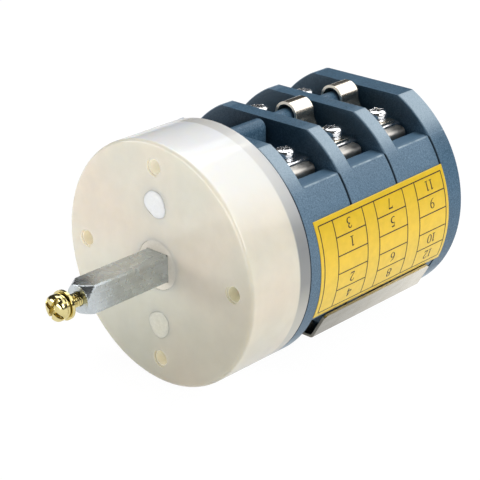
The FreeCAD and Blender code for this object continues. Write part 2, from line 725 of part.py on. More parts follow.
def plunger(stage, side):
    """Moulded plunger: flat nose on the cam, stem in the guide window, slot for the bridge, spring peg."""
    body = new_body("plunger_%d_%s" % (stage + 1, side))
    nose = CAM_R + S["nose_gap"]
    half_y, half_z = S["plunger_wide"] / 2 - S["run_gap"], S["plunger_high"] / 2 - S["run_gap"]
    back, gate = PLUNGER_BACK, BRIDGE_FACE
    pad(body, "stem", "YZ_Plane", nose, back - nose,
        lambda drawn: block(drawn, -half_y, half_y, -half_z, half_z))
    soften(body, "nose_round", 0.8, lambda middle, edge: near(middle.x, nose)
           and runs_along(edge, AXIS_Y))
    pad(body, "spring_peg", "YZ_Plane", back, 1.2, lambda drawn: ring(drawn, 0, 0, 1.7))
    pocket(body, "bridge_slot", "XY_Plane", -half_z - 0.1, 2 * half_z + 0.2,
           lambda drawn: block(drawn, gate - 0.05, gate + 1.05, -2.6, 2.6))
    place(body, 0.0, terminal_line(stage), 0.0, AXIS_Z, 0.0 if side == "right" else 180.0)
    return body


def bridge_half():
    """Half the height of a contact bridge."""
    return S["contact_reach"] + 2.2


def contact_bridge(stage, side):
    """Brass bar that joins the two fixed contact tips, with a raised rib and two contact buttons."""
    body = new_body("contact_bridge_%d_%s" % (stage + 1, side))
    face, half_z = BRIDGE_FACE, bridge_half()
    pad(body, "bar", "YZ_Plane", face, 1.0, lambda drawn: block(drawn, -2.5, 2.5, -half_z, half_z))
    soften(body, "ends", 1.6, lambda middle, edge: runs_along(edge, AXIS_X))
    for name, way in (("upper", 1), ("lower", -1)):
        pad(body, name + "_button", "YZ_Plane", face - 0.35, 0.45,
            lambda drawn: ring(drawn, 0, way * S["contact_reach"], 1.7))
    place(body, 0.0, terminal_line(stage), 0.0, AXIS_Z, 0.0 if side == "right" else 180.0)
    return body


def contact_spring(stage, side):
    """Small compression spring between the plunger and the outer wall of the chamber."""
    body = new_body("contact_spring_%d_%s" % (stage + 1, side))
    wire, coil_r = fixed(0.6), fixed(2.35)
    start, end, turns = PLUNGER_BACK + 0.35, TUNNEL_X - 0.35, 3.0
    section = sketch(body, "wire_section", "XY_Plane", 0)
    wire_section(section, start, coil_r, wire / 2)
    wind(body, "coil", section, "H_Axis", (end - start) / turns, end - start)
    place(body, 0.0, terminal_line(stage), 0.0, AXIS_Z, 0.0 if side == "right" else 180.0)
    return body


# Terminals

def carries_jumper(stage, side, level):
    """Straps lie under the top screws of stages two and three, the link bar under the lower right ones."""
    return (level == "top" and stage > 0) or (level == "bottom" and side == "right")


def terminal_places(stacked):
    """Places and turns of the twelve terminals; pieces above a jumper sit one strip higher."""
    places, turns = [], []
    for stage in range(3):
        for side, level in QUARTERS:
            sign = 1 if side == "right" else -1
            way = 1 if level == "top" else -1
            lift = STRIP + 0.05 if stacked and carries_jumper(stage, side, level) else fixed(0.0)
            places.append((sign * TERMINAL_X, terminal_line(stage), way * lift))
            turns.append(0.0 if way > 0 else 180.0)
    return places, turns


def terminal_screws():
    body = new_body("terminal_screw")
    under = SEAT + 2.35
    pad(body, "shank", "XY_Plane", under - 9.0, 9.0, lambda drawn: ring(drawn, 0, 0, SCREW_R - 0.07))
    pad(body, "head", "XY_Plane", under, 2.3, lambda drawn: ring(drawn, 0, 0, 3.05))
    soften(body, "head_round", 0.8, lambda middle, edge: near(middle.z, under + 2.3), chamfer=True)
    pocket(body, "slot", "XY_Plane", under + 1.2, 1.2, lambda drawn: block(drawn, -4, 4, -0.45, 0.45))
    pocket(body, "cross_slot", "XY_Plane", under + 1.2, 1.2, lambda drawn: block(drawn, -0.45, 0.45, -4, 4))
    places, turns = terminal_places(stacked=True)
    return group_of(body, "terminal_screws", places, turns)


def terminal_spring_washers():
    body = new_body("terminal_spring_washer")
    under = SEAT + 1.4
    pad(body, "ring", "XY_Plane", under, 0.9, lambda drawn: ring(drawn, 0, 0, 2.95))
    pocket(body, "hole", "XY_Plane", under, 0.9, lambda drawn: ring(drawn, 0, 0, SCREW_R + 0.1))
    pocket(body, "split", "XY_Plane", under, 0.9, lambda drawn: outline(
        drawn, [(1.6, -0.3), (4.5, 0.3), (4.5, 0.9), (1.6, 0.3)]))
    places, turns = terminal_places(stacked=True)
    return group_of(body, "terminal_spring_washers", places, turns)


def clamp_plates():
    """Flat plates, nearly as wide as their pockets, that press the wires onto the fixed contacts."""
    body = new_body("clamp_plate")
    under, half, half_y = SEAT, fixed(3.95), POCKET_HALF - 0.3
    pad(body, "plate", "XY_Plane", under, 1.35, lambda drawn: block(drawn, -half, half, -half_y, half_y))
    soften(body, "edges", 0.3, lambda middle, edge: near(middle.z, under + 1.35), chamfer=True)
    pocket(body, "hole", "XY_Plane", under, 1.35, lambda drawn: ring(drawn, 0, 0, SCREW_R + 0.15))
    places, turns = terminal_places(stacked=False)
    return group_of(body, "clamp_plates", places, turns)


def terminal_nuts():
    body = new_body("terminal_nut")
    top = SEAT - STRIP - 0.05
    pad(body, "nut", "XY_Plane", top - 3.1, 3.1, lambda drawn: block(drawn, -3.4, 3.4, -3.4, 3.4))
    pocket(body, "thread_hole", "XY_Plane", top - 3.1, 3.1, lambda drawn: ring(drawn, 0, 0, SCREW_R - 0.02))
    places, turns = terminal_places(stacked=False)
    return group_of(body, "terminal_nuts", places, turns)


def jumper_strap(stage, label):
    """Formed strip that arches over the barrier rib and joins the two top terminals of a stage."""
    body = new_body(label)
    foot = SEAT + 1.4
    half, top, reach = RIB_HALF + 1.5, CHORD + 2.0, TERMINAL_X + 3.6
    knee_x, knee_z = half + 1.7, top - half - 0.9
    inner = half - STRIP
    right = [(reach, foot), (reach, foot + STRIP), (knee_x, foot + STRIP), (half, knee_z), (half, top)]
    left = [(-across, up) for across, up in reversed(right)]
    under_left = [(-knee_x - 0.35, foot), (-inner, knee_z - 0.3), (-inner, top - STRIP)]
    under_right = [(-across, up) for across, up in reversed(under_left)]
    pad(body, "strip", "XZ_Plane", -fixed(3.7), 7.4,
        lambda drawn: outline(drawn, right + left + under_left + under_right))
    soften(body, "crown", half - 0.1, lambda middle, edge: near(middle.z, top) and runs_along(edge, AXIS_Y)
           and near(abs(middle.x), half))
    soften(body, "crown_inside", inner - 0.1, lambda middle, edge: near(middle.z, top - STRIP)
           and runs_along(edge, AXIS_Y) and near(abs(middle.x), inner))
    soften(body, "foot_bend", 1.6, lambda middle, edge: near(middle.z, foot + STRIP)
           and runs_along(edge, AXIS_Y) and near(abs(middle.x), knee_x))
    soften(body, "foot_bend_under", 2.4, lambda middle, edge: near(middle.z, foot)
           and runs_along(edge, AXIS_Y) and near(abs(middle.x), knee_x + 0.35))
    for name, side in (("right", 1), ("left", -1)):
        pocket(body, "hole_" + name, "XY_Plane", foot - 0.5, 2.0,
               lambda drawn: ring(drawn, side * TERMINAL_X, 0, SCREW_R + 0.15))
    place(body, 0.0, terminal_line(stage), 0.0)
    return body


def link_bar():
    """Long bar down the lower right side, with a tab bent in under each of the three lower right screws."""
    body = new_body("link_bar")
    tab_top = -(SEAT + 1.4)
    tab_low = tab_top - STRIP
    start, length = terminal_line(0) - 3.65, 2 * S["stage_pitch"] + 7.3
    lean_cos, lean_sin = 0.857, 0.515
    stand_off, top_edge = BODY_R + 0.25, fixed(2.1)

    def on_face(reach, below):
        """A point at a distance from the axis along the bar's normal and down its face."""
        return reach * lean_cos - below * lean_sin, -(reach * lean_sin + below * lean_cos)

    def face_at(reach, level):
        """Where the face at that distance reaches a level."""
        below = (-level - reach * lean_sin) / lean_cos
        return reach * lean_cos - below * lean_sin

    outer_x, inner_x = face_at(stand_off + STRIP, tab_low), face_at(stand_off, tab_top)
    tab_end = TERMINAL_X - 3.9
    corners = [on_face(stand_off + STRIP, -top_edge), (outer_x, tab_low), (tab_end, tab_low),
               (tab_end, tab_top), (inner_x, tab_top), on_face(stand_off, -top_edge)]
    pad(body, "angle", "XZ_Plane", start, length, lambda drawn: outline(drawn, corners))
    soften(body, "bend_outside", 1.3, lambda middle, edge: runs_along(edge, AXIS_Y)
           and near(middle.x, outer_x) and near(middle.z, tab_low))
    soften(body, "bend_inside", 0.6, lambda middle, edge: runs_along(edge, AXIS_Y)
           and near(middle.x, inner_x) and near(middle.z, tab_top))
    across = V(lean_cos, 0, -lean_sin)
    soften(body, "corners", 1.6, lambda middle, edge: runs_along(edge, across))
    for gap in range(2):
        pocket(body, "between_tabs_%d" % (gap + 1), "XZ_Plane",
               terminal_line(gap) + 3.65, S["stage_pitch"] - 7.3,
               lambda drawn: block(drawn, 5.0, inner_x - 1.2, tab_low - 1, tab_top + 1))
    for stage in range(3):
        pocket(body, "hole_%d" % (stage + 1), "XY_Plane", tab_low - 0.5, 2.0,
               lambda drawn: ring(drawn, TERMINAL_X, terminal_line(stage), SCREW_R + 0.15))
    return body


# Build, check and write

def build():
    parts = [front_cover(), hole_plugs(), bearing_plate()]
    for stage in range(3):
        parts.append(stage_housing(stage, "stage_%d_housing" % (stage + 1)))
    parts += [end_plate(), label(), tie_screw(), tie_nut()]
    parts += [shaft(), driver(), return_spring(), rear_bush()]
    parts += [end_screw(), end_spring_washer(), end_flat_washer()]
    number = 0
    for stage in range(3):
        parts.append(cam(stage, "cam_%d" % (stage + 1)))
        for side, level in QUARTERS:
            number += 1
            parts.append(fixed_contact(number, stage, side, level))
        for side in ("right", "left"):
            parts += [plunger(stage, side), contact_bridge(stage, side), contact_spring(stage, side)]
    parts += [terminal_screws(), terminal_spring_washers(), clamp_plates(), terminal_nuts()]
    parts += [jumper_strap(1, "jumper_strap_2"), jumper_strap(2, "jumper_strap_3"), link_bar()]
    doc.recompute()
    return parts


def write(parts):
    os.makedirs("parts", exist_ok=True)
    for thing in doc.Objects:
        if "Invalid" in thing.State or "Error" in thing.State:
            raise RuntimeError("%s did not build" % thing.Label)
    for part in parts:
        if part.Shape.isNull() or not part.Shape.isValid():
            raise RuntimeError("%s has no valid shape" % part.Label)
        part.Shape.exportStep("parts/%s.step" % part.Label)


write(build())
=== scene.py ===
# %% [markdown]
# # A motor reversing switch
# A cream nylon cover stands in front of three blue housings, with a printed yellow label round the side, screw
# terminals in the open decks above and below, and a square shaft that carries the lever's screw. The solids come
# from the packed model. This lesson gives each one the finish of the real thing, and adds what is too thin or too
# fine to be a solid of its own, such as the print on the label and the thread of the screws.

# %% Load the frame
import json
import math

import bmesh
import bpy
import numpy as np
from mathutils import Matrix, Vector


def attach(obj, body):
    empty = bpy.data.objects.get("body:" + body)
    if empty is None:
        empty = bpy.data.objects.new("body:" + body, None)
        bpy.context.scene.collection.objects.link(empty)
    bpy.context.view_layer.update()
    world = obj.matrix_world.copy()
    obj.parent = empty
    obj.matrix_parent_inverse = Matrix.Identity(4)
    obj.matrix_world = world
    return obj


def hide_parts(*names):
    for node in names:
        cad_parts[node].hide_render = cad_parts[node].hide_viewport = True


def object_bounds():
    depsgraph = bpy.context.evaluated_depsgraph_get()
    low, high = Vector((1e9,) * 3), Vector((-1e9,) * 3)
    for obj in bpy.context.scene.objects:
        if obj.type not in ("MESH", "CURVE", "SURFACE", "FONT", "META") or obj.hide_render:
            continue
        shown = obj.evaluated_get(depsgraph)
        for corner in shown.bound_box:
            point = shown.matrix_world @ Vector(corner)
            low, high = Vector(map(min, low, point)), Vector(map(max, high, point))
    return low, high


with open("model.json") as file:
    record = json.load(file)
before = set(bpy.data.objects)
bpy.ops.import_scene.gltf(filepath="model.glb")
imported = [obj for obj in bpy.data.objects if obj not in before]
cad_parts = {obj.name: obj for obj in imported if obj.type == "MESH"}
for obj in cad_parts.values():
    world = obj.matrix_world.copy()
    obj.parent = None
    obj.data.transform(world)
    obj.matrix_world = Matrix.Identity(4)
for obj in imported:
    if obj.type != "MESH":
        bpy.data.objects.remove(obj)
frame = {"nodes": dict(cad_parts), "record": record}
cad_low, cad_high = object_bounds()
MM = 0.001
NODES = frame["nodes"]
BODY_OF = {node: body for body, nodes in frame["record"]["behaviour"]["bodies"].items() for node in nodes}
SLOT_OF = {part["node"]: part["material_slot"] for part in frame["record"]["subparts"]}
print("nodes:", len(NODES))
print("box in mm:", [round(v / MM, 1) for v in (*cad_low, *cad_high)])

# %% [markdown]
# ## Building finishes from nodes
# Every finish starts from one physically based shader. Its colour, roughness and bump come from noise that is
# read at the object's own coordinates, so a pattern stays where it is when the camera moves. A Mapping node turns
# metres into millimetres first, so that every scale below can be read as so many features in a millimetre, and
# every place on the switch is written in the millimetres of its drawing.


# %% A small kit for finishes
class Finish:
    """One material: its shader, coordinates in millimetres, and short calls that add and join nodes."""

    def __init__(self, name):
        self.name = name
        self.material = bpy.data.materials.new(name)
        self.material.use_nodes = True
        self.tree = self.material.node_tree
        self.shader = self.tree.nodes["Principled BSDF"]
        self.where = self.node("ShaderNodeTexCoord")
        self.place = self.stretched(1 / MM, 1 / MM, 1 / MM, self.where.outputs["Object"])

    def node(self, kind):
        return self.tree.nodes.new(kind)

    def put(self, value, into):
        """A number or a colour is set on the socket, and an output is linked to it."""
        if isinstance(value, bpy.types.NodeSocket):
            self.tree.links.new(value, into)
        else:
            into.default_value = (*value, 1.0) if into.type == "RGBA" else value

    def stretched(self, x, y, z, place=None):
        """A place with each axis scaled, for another unit or for grain that runs one way."""
        scale = self.node("ShaderNodeMapping")
        scale.inputs["Scale"].default_value = (x, y, z)
        self.put(place or self.place, scale.inputs["Vector"])
        return scale.outputs["Vector"]

    def noise(self, per_mm, detail=3.0, rough=0.55, where=None):
        texture = self.node("ShaderNodeTexNoise")
        for socket, number in (("Scale", per_mm), ("Detail", detail), ("Roughness", rough)):
            texture.inputs[socket].default_value = number
        self.put(where or self.place, texture.inputs["Vector"])
        return texture.outputs["Fac"]

    def cells(self, per_mm):
        """Distance from the nearest of many scattered points."""
        texture = self.node("ShaderNodeTexVoronoi")
        texture.inputs["Scale"].default_value = per_mm
        self.put(self.place, texture.inputs["Vector"])
        return texture.outputs["Distance"]

    def ramp(self, value, *stops):
        """Colours or grey levels along a value, each stop being (position, colour or level)."""
        ramp = self.node("ShaderNodeValToRGB")
        points = ramp.color_ramp.elements
        while len(points) < len(stops):
            points.new(0.5)
        for point, (position, colour) in zip(points, stops):
            point.position = position
            level = colour if isinstance(colour, tuple) else (colour, colour, colour)
            point.color = (*level, 1.0)
        self.put(value, ramp.inputs["Fac"])
        return ramp.outputs["Color"]

    def maths(self, operation, first, second=0.0):
        step = self.node("ShaderNodeMath")
        step.operation = operation
        self.put(first, step.inputs[0])
        self.put(second, step.inputs[1])
        return step.outputs[0]

    def times(self, first, *others):
        """The product of two or more masks."""
        for other in others:
            first = self.maths("MULTIPLY", first, other)
        return first

    def between(self, value, low, high, to_low=0.0, to_high=1.0):
        """A value carried smoothly from one range to another. A low above the high turns it round."""
        step = self.node("ShaderNodeMapRange")
        step.interpolation_type = "SMOOTHSTEP"
        self.put(value, step.inputs["Value"])
        for socket, number in zip(("From Min", "From Max", "To Min", "To Max"), (low, high, to_low, to_high)):
            step.inputs[socket].default_value = number
        return step.outputs["Result"]

    def apart(self, value, middle):
        """How far a value is from a middle, on either side."""
        return self.maths("ABSOLUTE", self.maths("SUBTRACT", value, middle))

    def near(self, value, middle, full, none):
        """1 as long as the value is within `full` of the middle, and 0 from `none` on."""
        return self.between(self.apart(value, middle), none, full)

    def mix(self, share, first, second, blend="MIX"):
        """Two colours blended by a share, which the node keeps between 0 and 1."""
        step = self.node("ShaderNodeMix")
        step.data_type = "RGBA"
        step.blend_type = blend
        self.put(share, step.inputs["Factor"])
        self.put(first, step.inputs[6])
        self.put(second, step.inputs[7])
        return step.outputs[2]

    def split(self, vector):
        """The three parts of a place or a direction, each by itself."""
        parts = self.node("ShaderNodeSeparateXYZ")
        self.put(vector, parts.inputs["Vector"])
        return parts.outputs["X"], parts.outputs["Y"], parts.outputs["Z"]

    def axes(self):
        return self.split(self.place)

    def facing(self):
        """Which way the surface looks, in the switch's own axes."""
        return self.split(self.where.outputs["Normal"])

    def from_axis(self, across, up, middle_across=0.0, middle_up=0.0):
        """Distance in millimetres from a line that runs square to two of the coordinates."""
        squares = [self.maths("POWER", self.maths("SUBTRACT", value, middle), 2.0)
                   for value, middle in ((across, middle_across), (up, middle_up))]
        return self.maths("SQRT", self.maths("ADD", *squares))

    def bump(self, height, depth_mm, strength=1.0, under=None):
        relief = self.node("ShaderNodeBump")
        relief.inputs["Distance"].default_value = depth_mm * MM
        relief.inputs["Strength"].default_value = strength
        self.put(height, relief.inputs["Height"])
        if under is not None:
            self.put(under, relief.inputs["Normal"])
        return relief.outputs["Normal"]

    def rounded(self, radius_mm, under):
        """Normals that turn smoothly over every edge, as a broken edge does."""
        edge = self.node("ShaderNodeBevel")
        edge.samples = 6
        edge.inputs["Radius"].default_value = radius_mm * MM
        self.put(under, edge.inputs["Normal"])
        return edge.outputs["Normal"]

    def hollow(self, reach_mm):
        """How shut in a place is: 0 in the open, up to 1 deep in a recess."""
        open_sky = self.node("ShaderNodeAmbientOcclusion")
        open_sky.samples = 6
        open_sky.only_local = True
        open_sky.inputs["Distance"].default_value = reach_mm * MM
        return self.maths("SUBTRACT", 1.0, open_sky.outputs["AO"])

    def finish(self, **sockets):
        """Sets the shader's sockets by name, with underscores for spaces, and shelves the material."""
        for name, value in sockets.items():
            self.put(value, self.shader.inputs[name.replace("_", " ")])
        MATERIALS[self.name] = self.material
        print(self.name, "from", len(self.tree.nodes), "nodes")


MATERIALS = {}
print("calls in the kit:", sum(name[0] != "_" for name in vars(Finish)))

# %% [markdown]
# ## The cover's nylon
# Natural nylon is a milky cream with faint clouds where the melt met, a little pinker on one side and greyer on
# the other. Light goes a few millimetres into it. The mounting holes get a painted glow, an emission on their
# walls that fades with depth and is brighter on the left. Painted light makes the crown behind the face paler,
# and painted shade makes the low right side greyer. Its last four millimetres are only a lip with the dark plate
# showing through, which makes them look like grey glass, and a painted reflection makes the lip lighter at its
# top and foot. All this could be painted on, but masks along the three axes do it without a picture: each one is
# a smooth step at a place that can be measured on the cover.


# %% Tones of the cover
MELT_CLOUDS = ((0.36, (0.82, 0.735, 0.615)), (0.5, (0.79, 0.745, 0.635)), (0.64, (0.74, 0.735, 0.635)))
# Painted light: the crown and the ridge on top of the cover are paler.
PAINTED_CROWN_LIGHT, CROWN_RISE = (0.84, 0.83, 0.79), (14.0, 31.0)
PAINTED_RIDGE_LIGHT, RIDGE_RISE = (0.97, 0.965, 0.94), (32.6, 34.2)
FACE_SHADE, SIDE_SHADE = (0.66, 0.65, 0.61), (0.92, 0.905, 0.88)
SHADE_LEAN, SHADE_FALL = -0.55, (14.0, -32.0)
# The lip: the dark plate showing through, with a painted reflection lighter at its top and foot.
SMOKY_LIP_AND_SHEEN = ((0.0, (0.58, 0.555, 0.475)), (0.28, (0.50, 0.485, 0.43)), (0.46, (0.27, 0.275, 0.27)),
             (0.66, (0.24, 0.25, 0.255)), (0.86, (0.46, 0.465, 0.46)), (1.0, (0.72, 0.70, 0.66)))
SMOKE_REACH, LIP_FROM, LIP_FULL = 36.0, 17.9, 18.6
THROUGH_NYLON = (1.0, 0.85, 0.65)


def cover_tone(made, x, y, z):
    """Clouds, then painted light that makes the crown behind the face paler, painted shade that greys the low
    right side, and the smoky lip with a painted reflection at its top and foot, one over another.
    """
    cream = made.ramp(made.noise(0.028, 1.0, 0.4), *MELT_CLOUDS)
    wisps = made.ramp(made.noise(0.18, 3.0, 0.5), (0.35, 0.95), (0.65, 1.0))
    cream = made.mix(1.0, cream, wisps, "MULTIPLY")
    off_face = made.between(y, 0.3, 1.2)
    # Painted light: a paler crown and ridge on top, off the face.
    cream = made.mix(made.times(made.between(z, *CROWN_RISE), off_face), cream, PAINTED_CROWN_LIGHT)
    cream = made.mix(made.times(made.between(z, *RIDGE_RISE), off_face), cream, PAINTED_RIDGE_LIGHT)
    # Painted shade: darker towards the low right, strongest on the face.
    low_right = made.between(made.maths("ADD", z, made.times(x, SHADE_LEAN)), *SHADE_FALL)
    shade = made.mix(made.between(y, 0.1, 1.2), FACE_SHADE, SIDE_SHADE)
    cream = made.mix(low_right, cream, shade, "MULTIPLY")
    # The dark plate through the lip, and a painted reflection lighter at its top and foot.
    smoke_and_sheen = made.ramp(made.between(z, -SMOKE_REACH, SMOKE_REACH), *SMOKY_LIP_AND_SHEEN)
    return made.mix(made.between(y, LIP_FROM, LIP_FULL), cream, smoke_and_sheen)


print("clear lip from", LIP_FROM, "mm behind the face")

# %% Cover nylon
MOUNT_RADIUS, MOUNT_HOLE, STEP_DEEP, STEP_WIDE = 28.0, 2.1, 0.5, 0.5
MOUNT_PLACES = ((MOUNT_RADIUS, 0.0), (-MOUNT_RADIUS, 0.0), (0.0, MOUNT_RADIUS), (0.0, -MOUNT_RADIUS))
# Tones of the painted glow in the holes, brighter on the left.
PAINTED_GLOW_LEFT, PAINTED_GLOW_RIGHT = (0.25, 0.225, 0.165), (0.145, 0.15, 0.105)
GLOW_NEAR, GLOW_DEEP, GLOW_STEP = 1.35, 0.75, 1.2
SKIN, SOFT, MOUTH = 0.02, 0.1, 0.02
HUB_R, HUB_LINE = 7.15, 0.35


def painted_hole_glow(made, x, y, z):
    """A painted glow that stands in for light through the nylon, in the nearest mounting hole: on the wall, less
    and less down to 9 mm, and on the small step round the mouth, brighter on the left."""
    hole = made.from_axis(x, z, *MOUNT_PLACES[0])
    for across, up in MOUNT_PLACES[1:]:
        hole = made.maths("MINIMUM", hole, made.from_axis(x, z, across, up))
    wall = made.times(made.between(hole, MOUNT_HOLE + SKIN + SOFT, MOUNT_HOLE + SKIN),
                      made.between(y, MOUTH, STEP_DEEP), made.between(y, 9.0, 2.0),
                      made.between(y, 0.8, 5.0, GLOW_NEAR, GLOW_DEEP))
    step = made.times(made.between(hole, MOUNT_HOLE + STEP_WIDE + SOFT, MOUNT_HOLE + STEP_WIDE),
                      made.between(y, MOUTH, 0.1), made.between(y, STEP_DEEP - 0.01, STEP_DEEP - 0.08), GLOW_STEP)
    # Painted glow: the holes on the left are painted brighter than those on the right.
    painted_glow = made.mix(made.between(x, 4.0, 20.0), PAINTED_GLOW_LEFT, PAINTED_GLOW_RIGHT)
    return made.mix(made.maths("MAXIMUM", wall, step), (0.0, 0.0, 0.0), painted_glow)


def cover_relief(made, x, z):
    """Fine grain, slow waves, and over them the witness line of the hub's insert in the mould."""
    hub = made.from_axis(x, z)
    crease = made.times(made.between(hub, HUB_R + 2 * HUB_LINE, HUB_R + HUB_LINE),
                        made.between(hub, HUB_R - 0.1, HUB_R + HUB_LINE))
    grain = made.bump(made.noise(2.0, 3.0), 0.012, 0.4)
    waves = made.bump(made.noise(0.16, 2.0), 0.12, 0.5, grain)
    return made.bump(crease, 0.022, 0.6, waves)


def cover_nylon():
    made = Finish("cover_nylon")
    x, y, z = made.axes()
    # The colour carries painted light and shade, and the emission is a painted glow in the holes.
    made.finish(Base_Color=cover_tone(made, x, y, z), Roughness=0.34, Normal=cover_relief(made, x, z),
                Subsurface_Weight=0.7, Subsurface_Radius=THROUGH_NYLON, Subsurface_Scale=0.005,
                Coat_Weight=0.5, Coat_Roughness=0.06,
                Emission_Color=painted_hole_glow(made, x, y, z), Emission_Strength=1.0)


def plug_nylon():
    """The upper well's filling is white, and the lower one's is painted as cream as the cover round it, a darker
    tone that is painted shade.
    """
    made = Finish("plug_nylon")
    x, y, z = made.axes()
    grain = made.noise(1.4, 3.0, 0.6)
    white = made.ramp(grain, (0.3, (0.92, 0.92, 0.90)), (0.7, (0.98, 0.98, 0.96)))
    cream = made.ramp(grain, (0.3, (0.62, 0.60, 0.49)), (0.7, (0.70, 0.675, 0.56)))
    # Painted shade: the lower filling darker cream, the upper one white.
    made.finish(Base_Color=made.mix(made.between(z, -2.0, 2.0), cream, white), Roughness=0.35,
                Normal=made.bump(made.noise(0.5, 3.0), 0.25, 0.7),
                Subsurface_Weight=0.3, Subsurface_Radius=THROUGH_NYLON, Subsurface_Scale=0.003)


cover_nylon()
plug_nylon()

# %% [markdown]
# ## The housings' plastic
# The three housings and the end plate are pressed from a slate blue compound with a fine sparkle of filler. Close
# up the surface has a satin grain and lighter grains scattered through it. Painted light makes it paler on the
# round walls and on the outer strip of each deck, and painted highlights run along the rims of the flanges and
# the edge of each deck. The walls between the flanges that look to the front get painted shade, and the pressings
# meet in thin black lines. Each of these marks is a mask that says where the surface is and which way it looks,
# and they are laid over one another from the widest to the finest.


# %% Marks on the housings
STAGE_FRONTS, FLANGE_MM = (22.35, 42.16, 61.97, 81.78), 5.0
CHORD_Z, DECK_Z, DECK_POCKET_X, DECK_EDGE_X = 30.9, 21.3, 22.6, 27.5
JOINT_SKIN, LIT_WALL_SKIN, RIM_SKIN = (34.2, 34.6), (33.4, 34.2), (34.75, 34.93)
LINE_FULL, LINE_NONE, EDGE_FULL, EDGE_NONE = 0.16, 0.42, 0.15, 0.40


def joint_lines(made, y, height, reach):
    """The gap behind the cover's lip goes all round, and those behind the blocks end at the deck."""
    lines = made.between(y, STAGE_FRONTS[0] + 0.55, STAGE_FRONTS[0] + 0.3)
    for front in STAGE_FRONTS[1:]:
        line = made.times(made.near(y, front, LINE_FULL, LINE_NONE),
                          made.between(height, DECK_Z + 0.2, DECK_Z - 0.4))
        lines = made.maths("MAXIMUM", lines, line)
    return made.times(lines, made.between(reach, *JOINT_SKIN))


def painted_deck_edge_highlight(made, y, out, height):
    """A painted highlight on the edge, where the deck's height and the block's side are both near, and no flange
    is.
    """
    edge = made.times(made.near(height, DECK_Z, EDGE_FULL, EDGE_NONE),
                      made.near(out, DECK_EDGE_X, EDGE_FULL, EDGE_NONE))
    for front in STAGE_FRONTS:
        edge = made.times(edge, made.between(made.apart(y, front + FLANGE_MM / 2),
                                             FLANGE_MM / 2 + 0.6, FLANGE_MM / 2 + 1.4))
    return made.times(edge, made.ramp(made.noise(0.5, 2.0), (0.35, 0.2), (0.65, 0.75)))


def painted_light_on_walls(made, y, z, reach, grain):
    """Painted light on the round walls in front of the end plate, less so below the middle, and broken up by the
    grain.
    """
    return made.times(made.between(reach, *LIT_WALL_SKIN), made.between(y, 84.0, 79.0),
                      made.between(z, -6.0, 8.0, 0.6, 1.0), made.ramp(grain, (0.3, 0.2), (0.7, 0.5)))


def painted_rim_highlight(made, height, reach, grain):
    """A painted highlight on the outermost skin of the flanges, from a little below the deck up to their flat
    tops.
    """
    return made.times(made.between(height, DECK_Z - 2.0, CHORD_Z - 4.0), made.between(reach, *RIM_SKIN),
                      made.ramp(grain, (0.3, 0.6), (0.7, 1.0)))


def shaded_fronts(made, height):
    """Walls that look to the front, above the deck."""
    forward = made.between(made.facing()[1], -0.6, -0.9)
    return made.times(forward, made.between(height, DECK_Z - 1.0, DECK_Z + 4.0))


print("flanges at", STAGE_FRONTS, "mm")

# %% Housing plastic
SLATE = ((0.34, (0.028, 0.076, 0.130)), (0.5, (0.062, 0.130, 0.203)), (0.66, (0.120, 0.210, 0.300)))
FLECK, DECK_STRIP_PAINTED_LIGHT, PAINTED_WALL_LIGHT = (0.11, 0.18, 0.25), (0.10, 0.18, 0.27), (0.20, 0.29, 0.38)
GAP, DECK_EDGE_HIGHLIGHT, RIM_HIGHLIGHT = (0.004, 0.010, 0.018), (0.44, 0.54, 0.60), (0.37, 0.47, 0.55)
IN_SHADE = (0.012, 0.030, 0.050)


def housing_plastic():
    made = Finish("housing_plastic")
    x, y, z = made.axes()
    out, height, reach = made.maths("ABSOLUTE", x), made.maths("ABSOLUTE", z), made.from_axis(x, z)
    grain = made.noise(2.6, 4.0, 0.7)
    fleck = made.between(made.cells(1.9), 0.0, 0.16, 1.0, 0.0)
    blue = made.mix(made.times(fleck, 0.35), made.ramp(grain, *SLATE), FLECK)
    blue = made.mix(1.0, blue, made.ramp(made.noise(0.08, 2.0), (0.35, 0.9), (0.65, 1.0)), "MULTIPLY")
    # Painted light on the outer strip of the deck.
    strip = made.times(made.between(out, DECK_POCKET_X - 0.6, DECK_POCKET_X + 0.2),
                       made.near(height, DECK_Z, 0.04, 0.12))
    # Painted light on the deck strip and round walls, dark joints, painted highlights on the deck edge and rims,
    # and painted shade on the fronts.
    for mark, share, tone in ((strip, 0.6, DECK_STRIP_PAINTED_LIGHT),
                              (painted_light_on_walls(made, y, z, reach, grain), 1.0, PAINTED_WALL_LIGHT),
                              (joint_lines(made, y, height, reach), 0.92, GAP),
                              (painted_deck_edge_highlight(made, y, out, height), 1.0, DECK_EDGE_HIGHLIGHT),
                              (painted_rim_highlight(made, height, reach, grain), 1.0, RIM_HIGHLIGHT),
                              (shaded_fronts(made, height), 0.62, IN_SHADE)):
        blue = made.mix(made.times(mark, share), blue, tone)
    made.finish(Base_Color=blue, Roughness=made.ramp(grain, (0.3, 0.36), (0.7, 0.46)),
                Normal=made.rounded(0.22, made.bump(grain, 0.03, 0.45)), Specular_IOR_Level=0.24,
                Coat_Weight=0.06, Coat_Roughness=0.2)


housing_plastic()

# %% [markdown]
# ## Metals
# The shaft is drawn steel, so its grain runs along the axis and a few pits stay in it. The terminal screws and
# clamps are bright zinc, the lever's screw has a yellow passivated zinc, and the straps and the long bar are
# rolled strip with a warm nickel finish. A picture of scratches suits one distance only, so their wear is noise,
# and all but the shaft share one recipe with their own colours and grain. The recesses of the heads get painted
# shade, darker where a node finds a place more shut in, the bar below is painted darker towards the front as
# painted shade, and strip is matt on its sheared edges.


# %% Plated metals
SHEARED_MATT = 0.4
BAR_PAINTED_SHADE = ((0.0, (0.33, 0.34, 0.335)), (1.0, (0.75, 0.76, 0.75)))


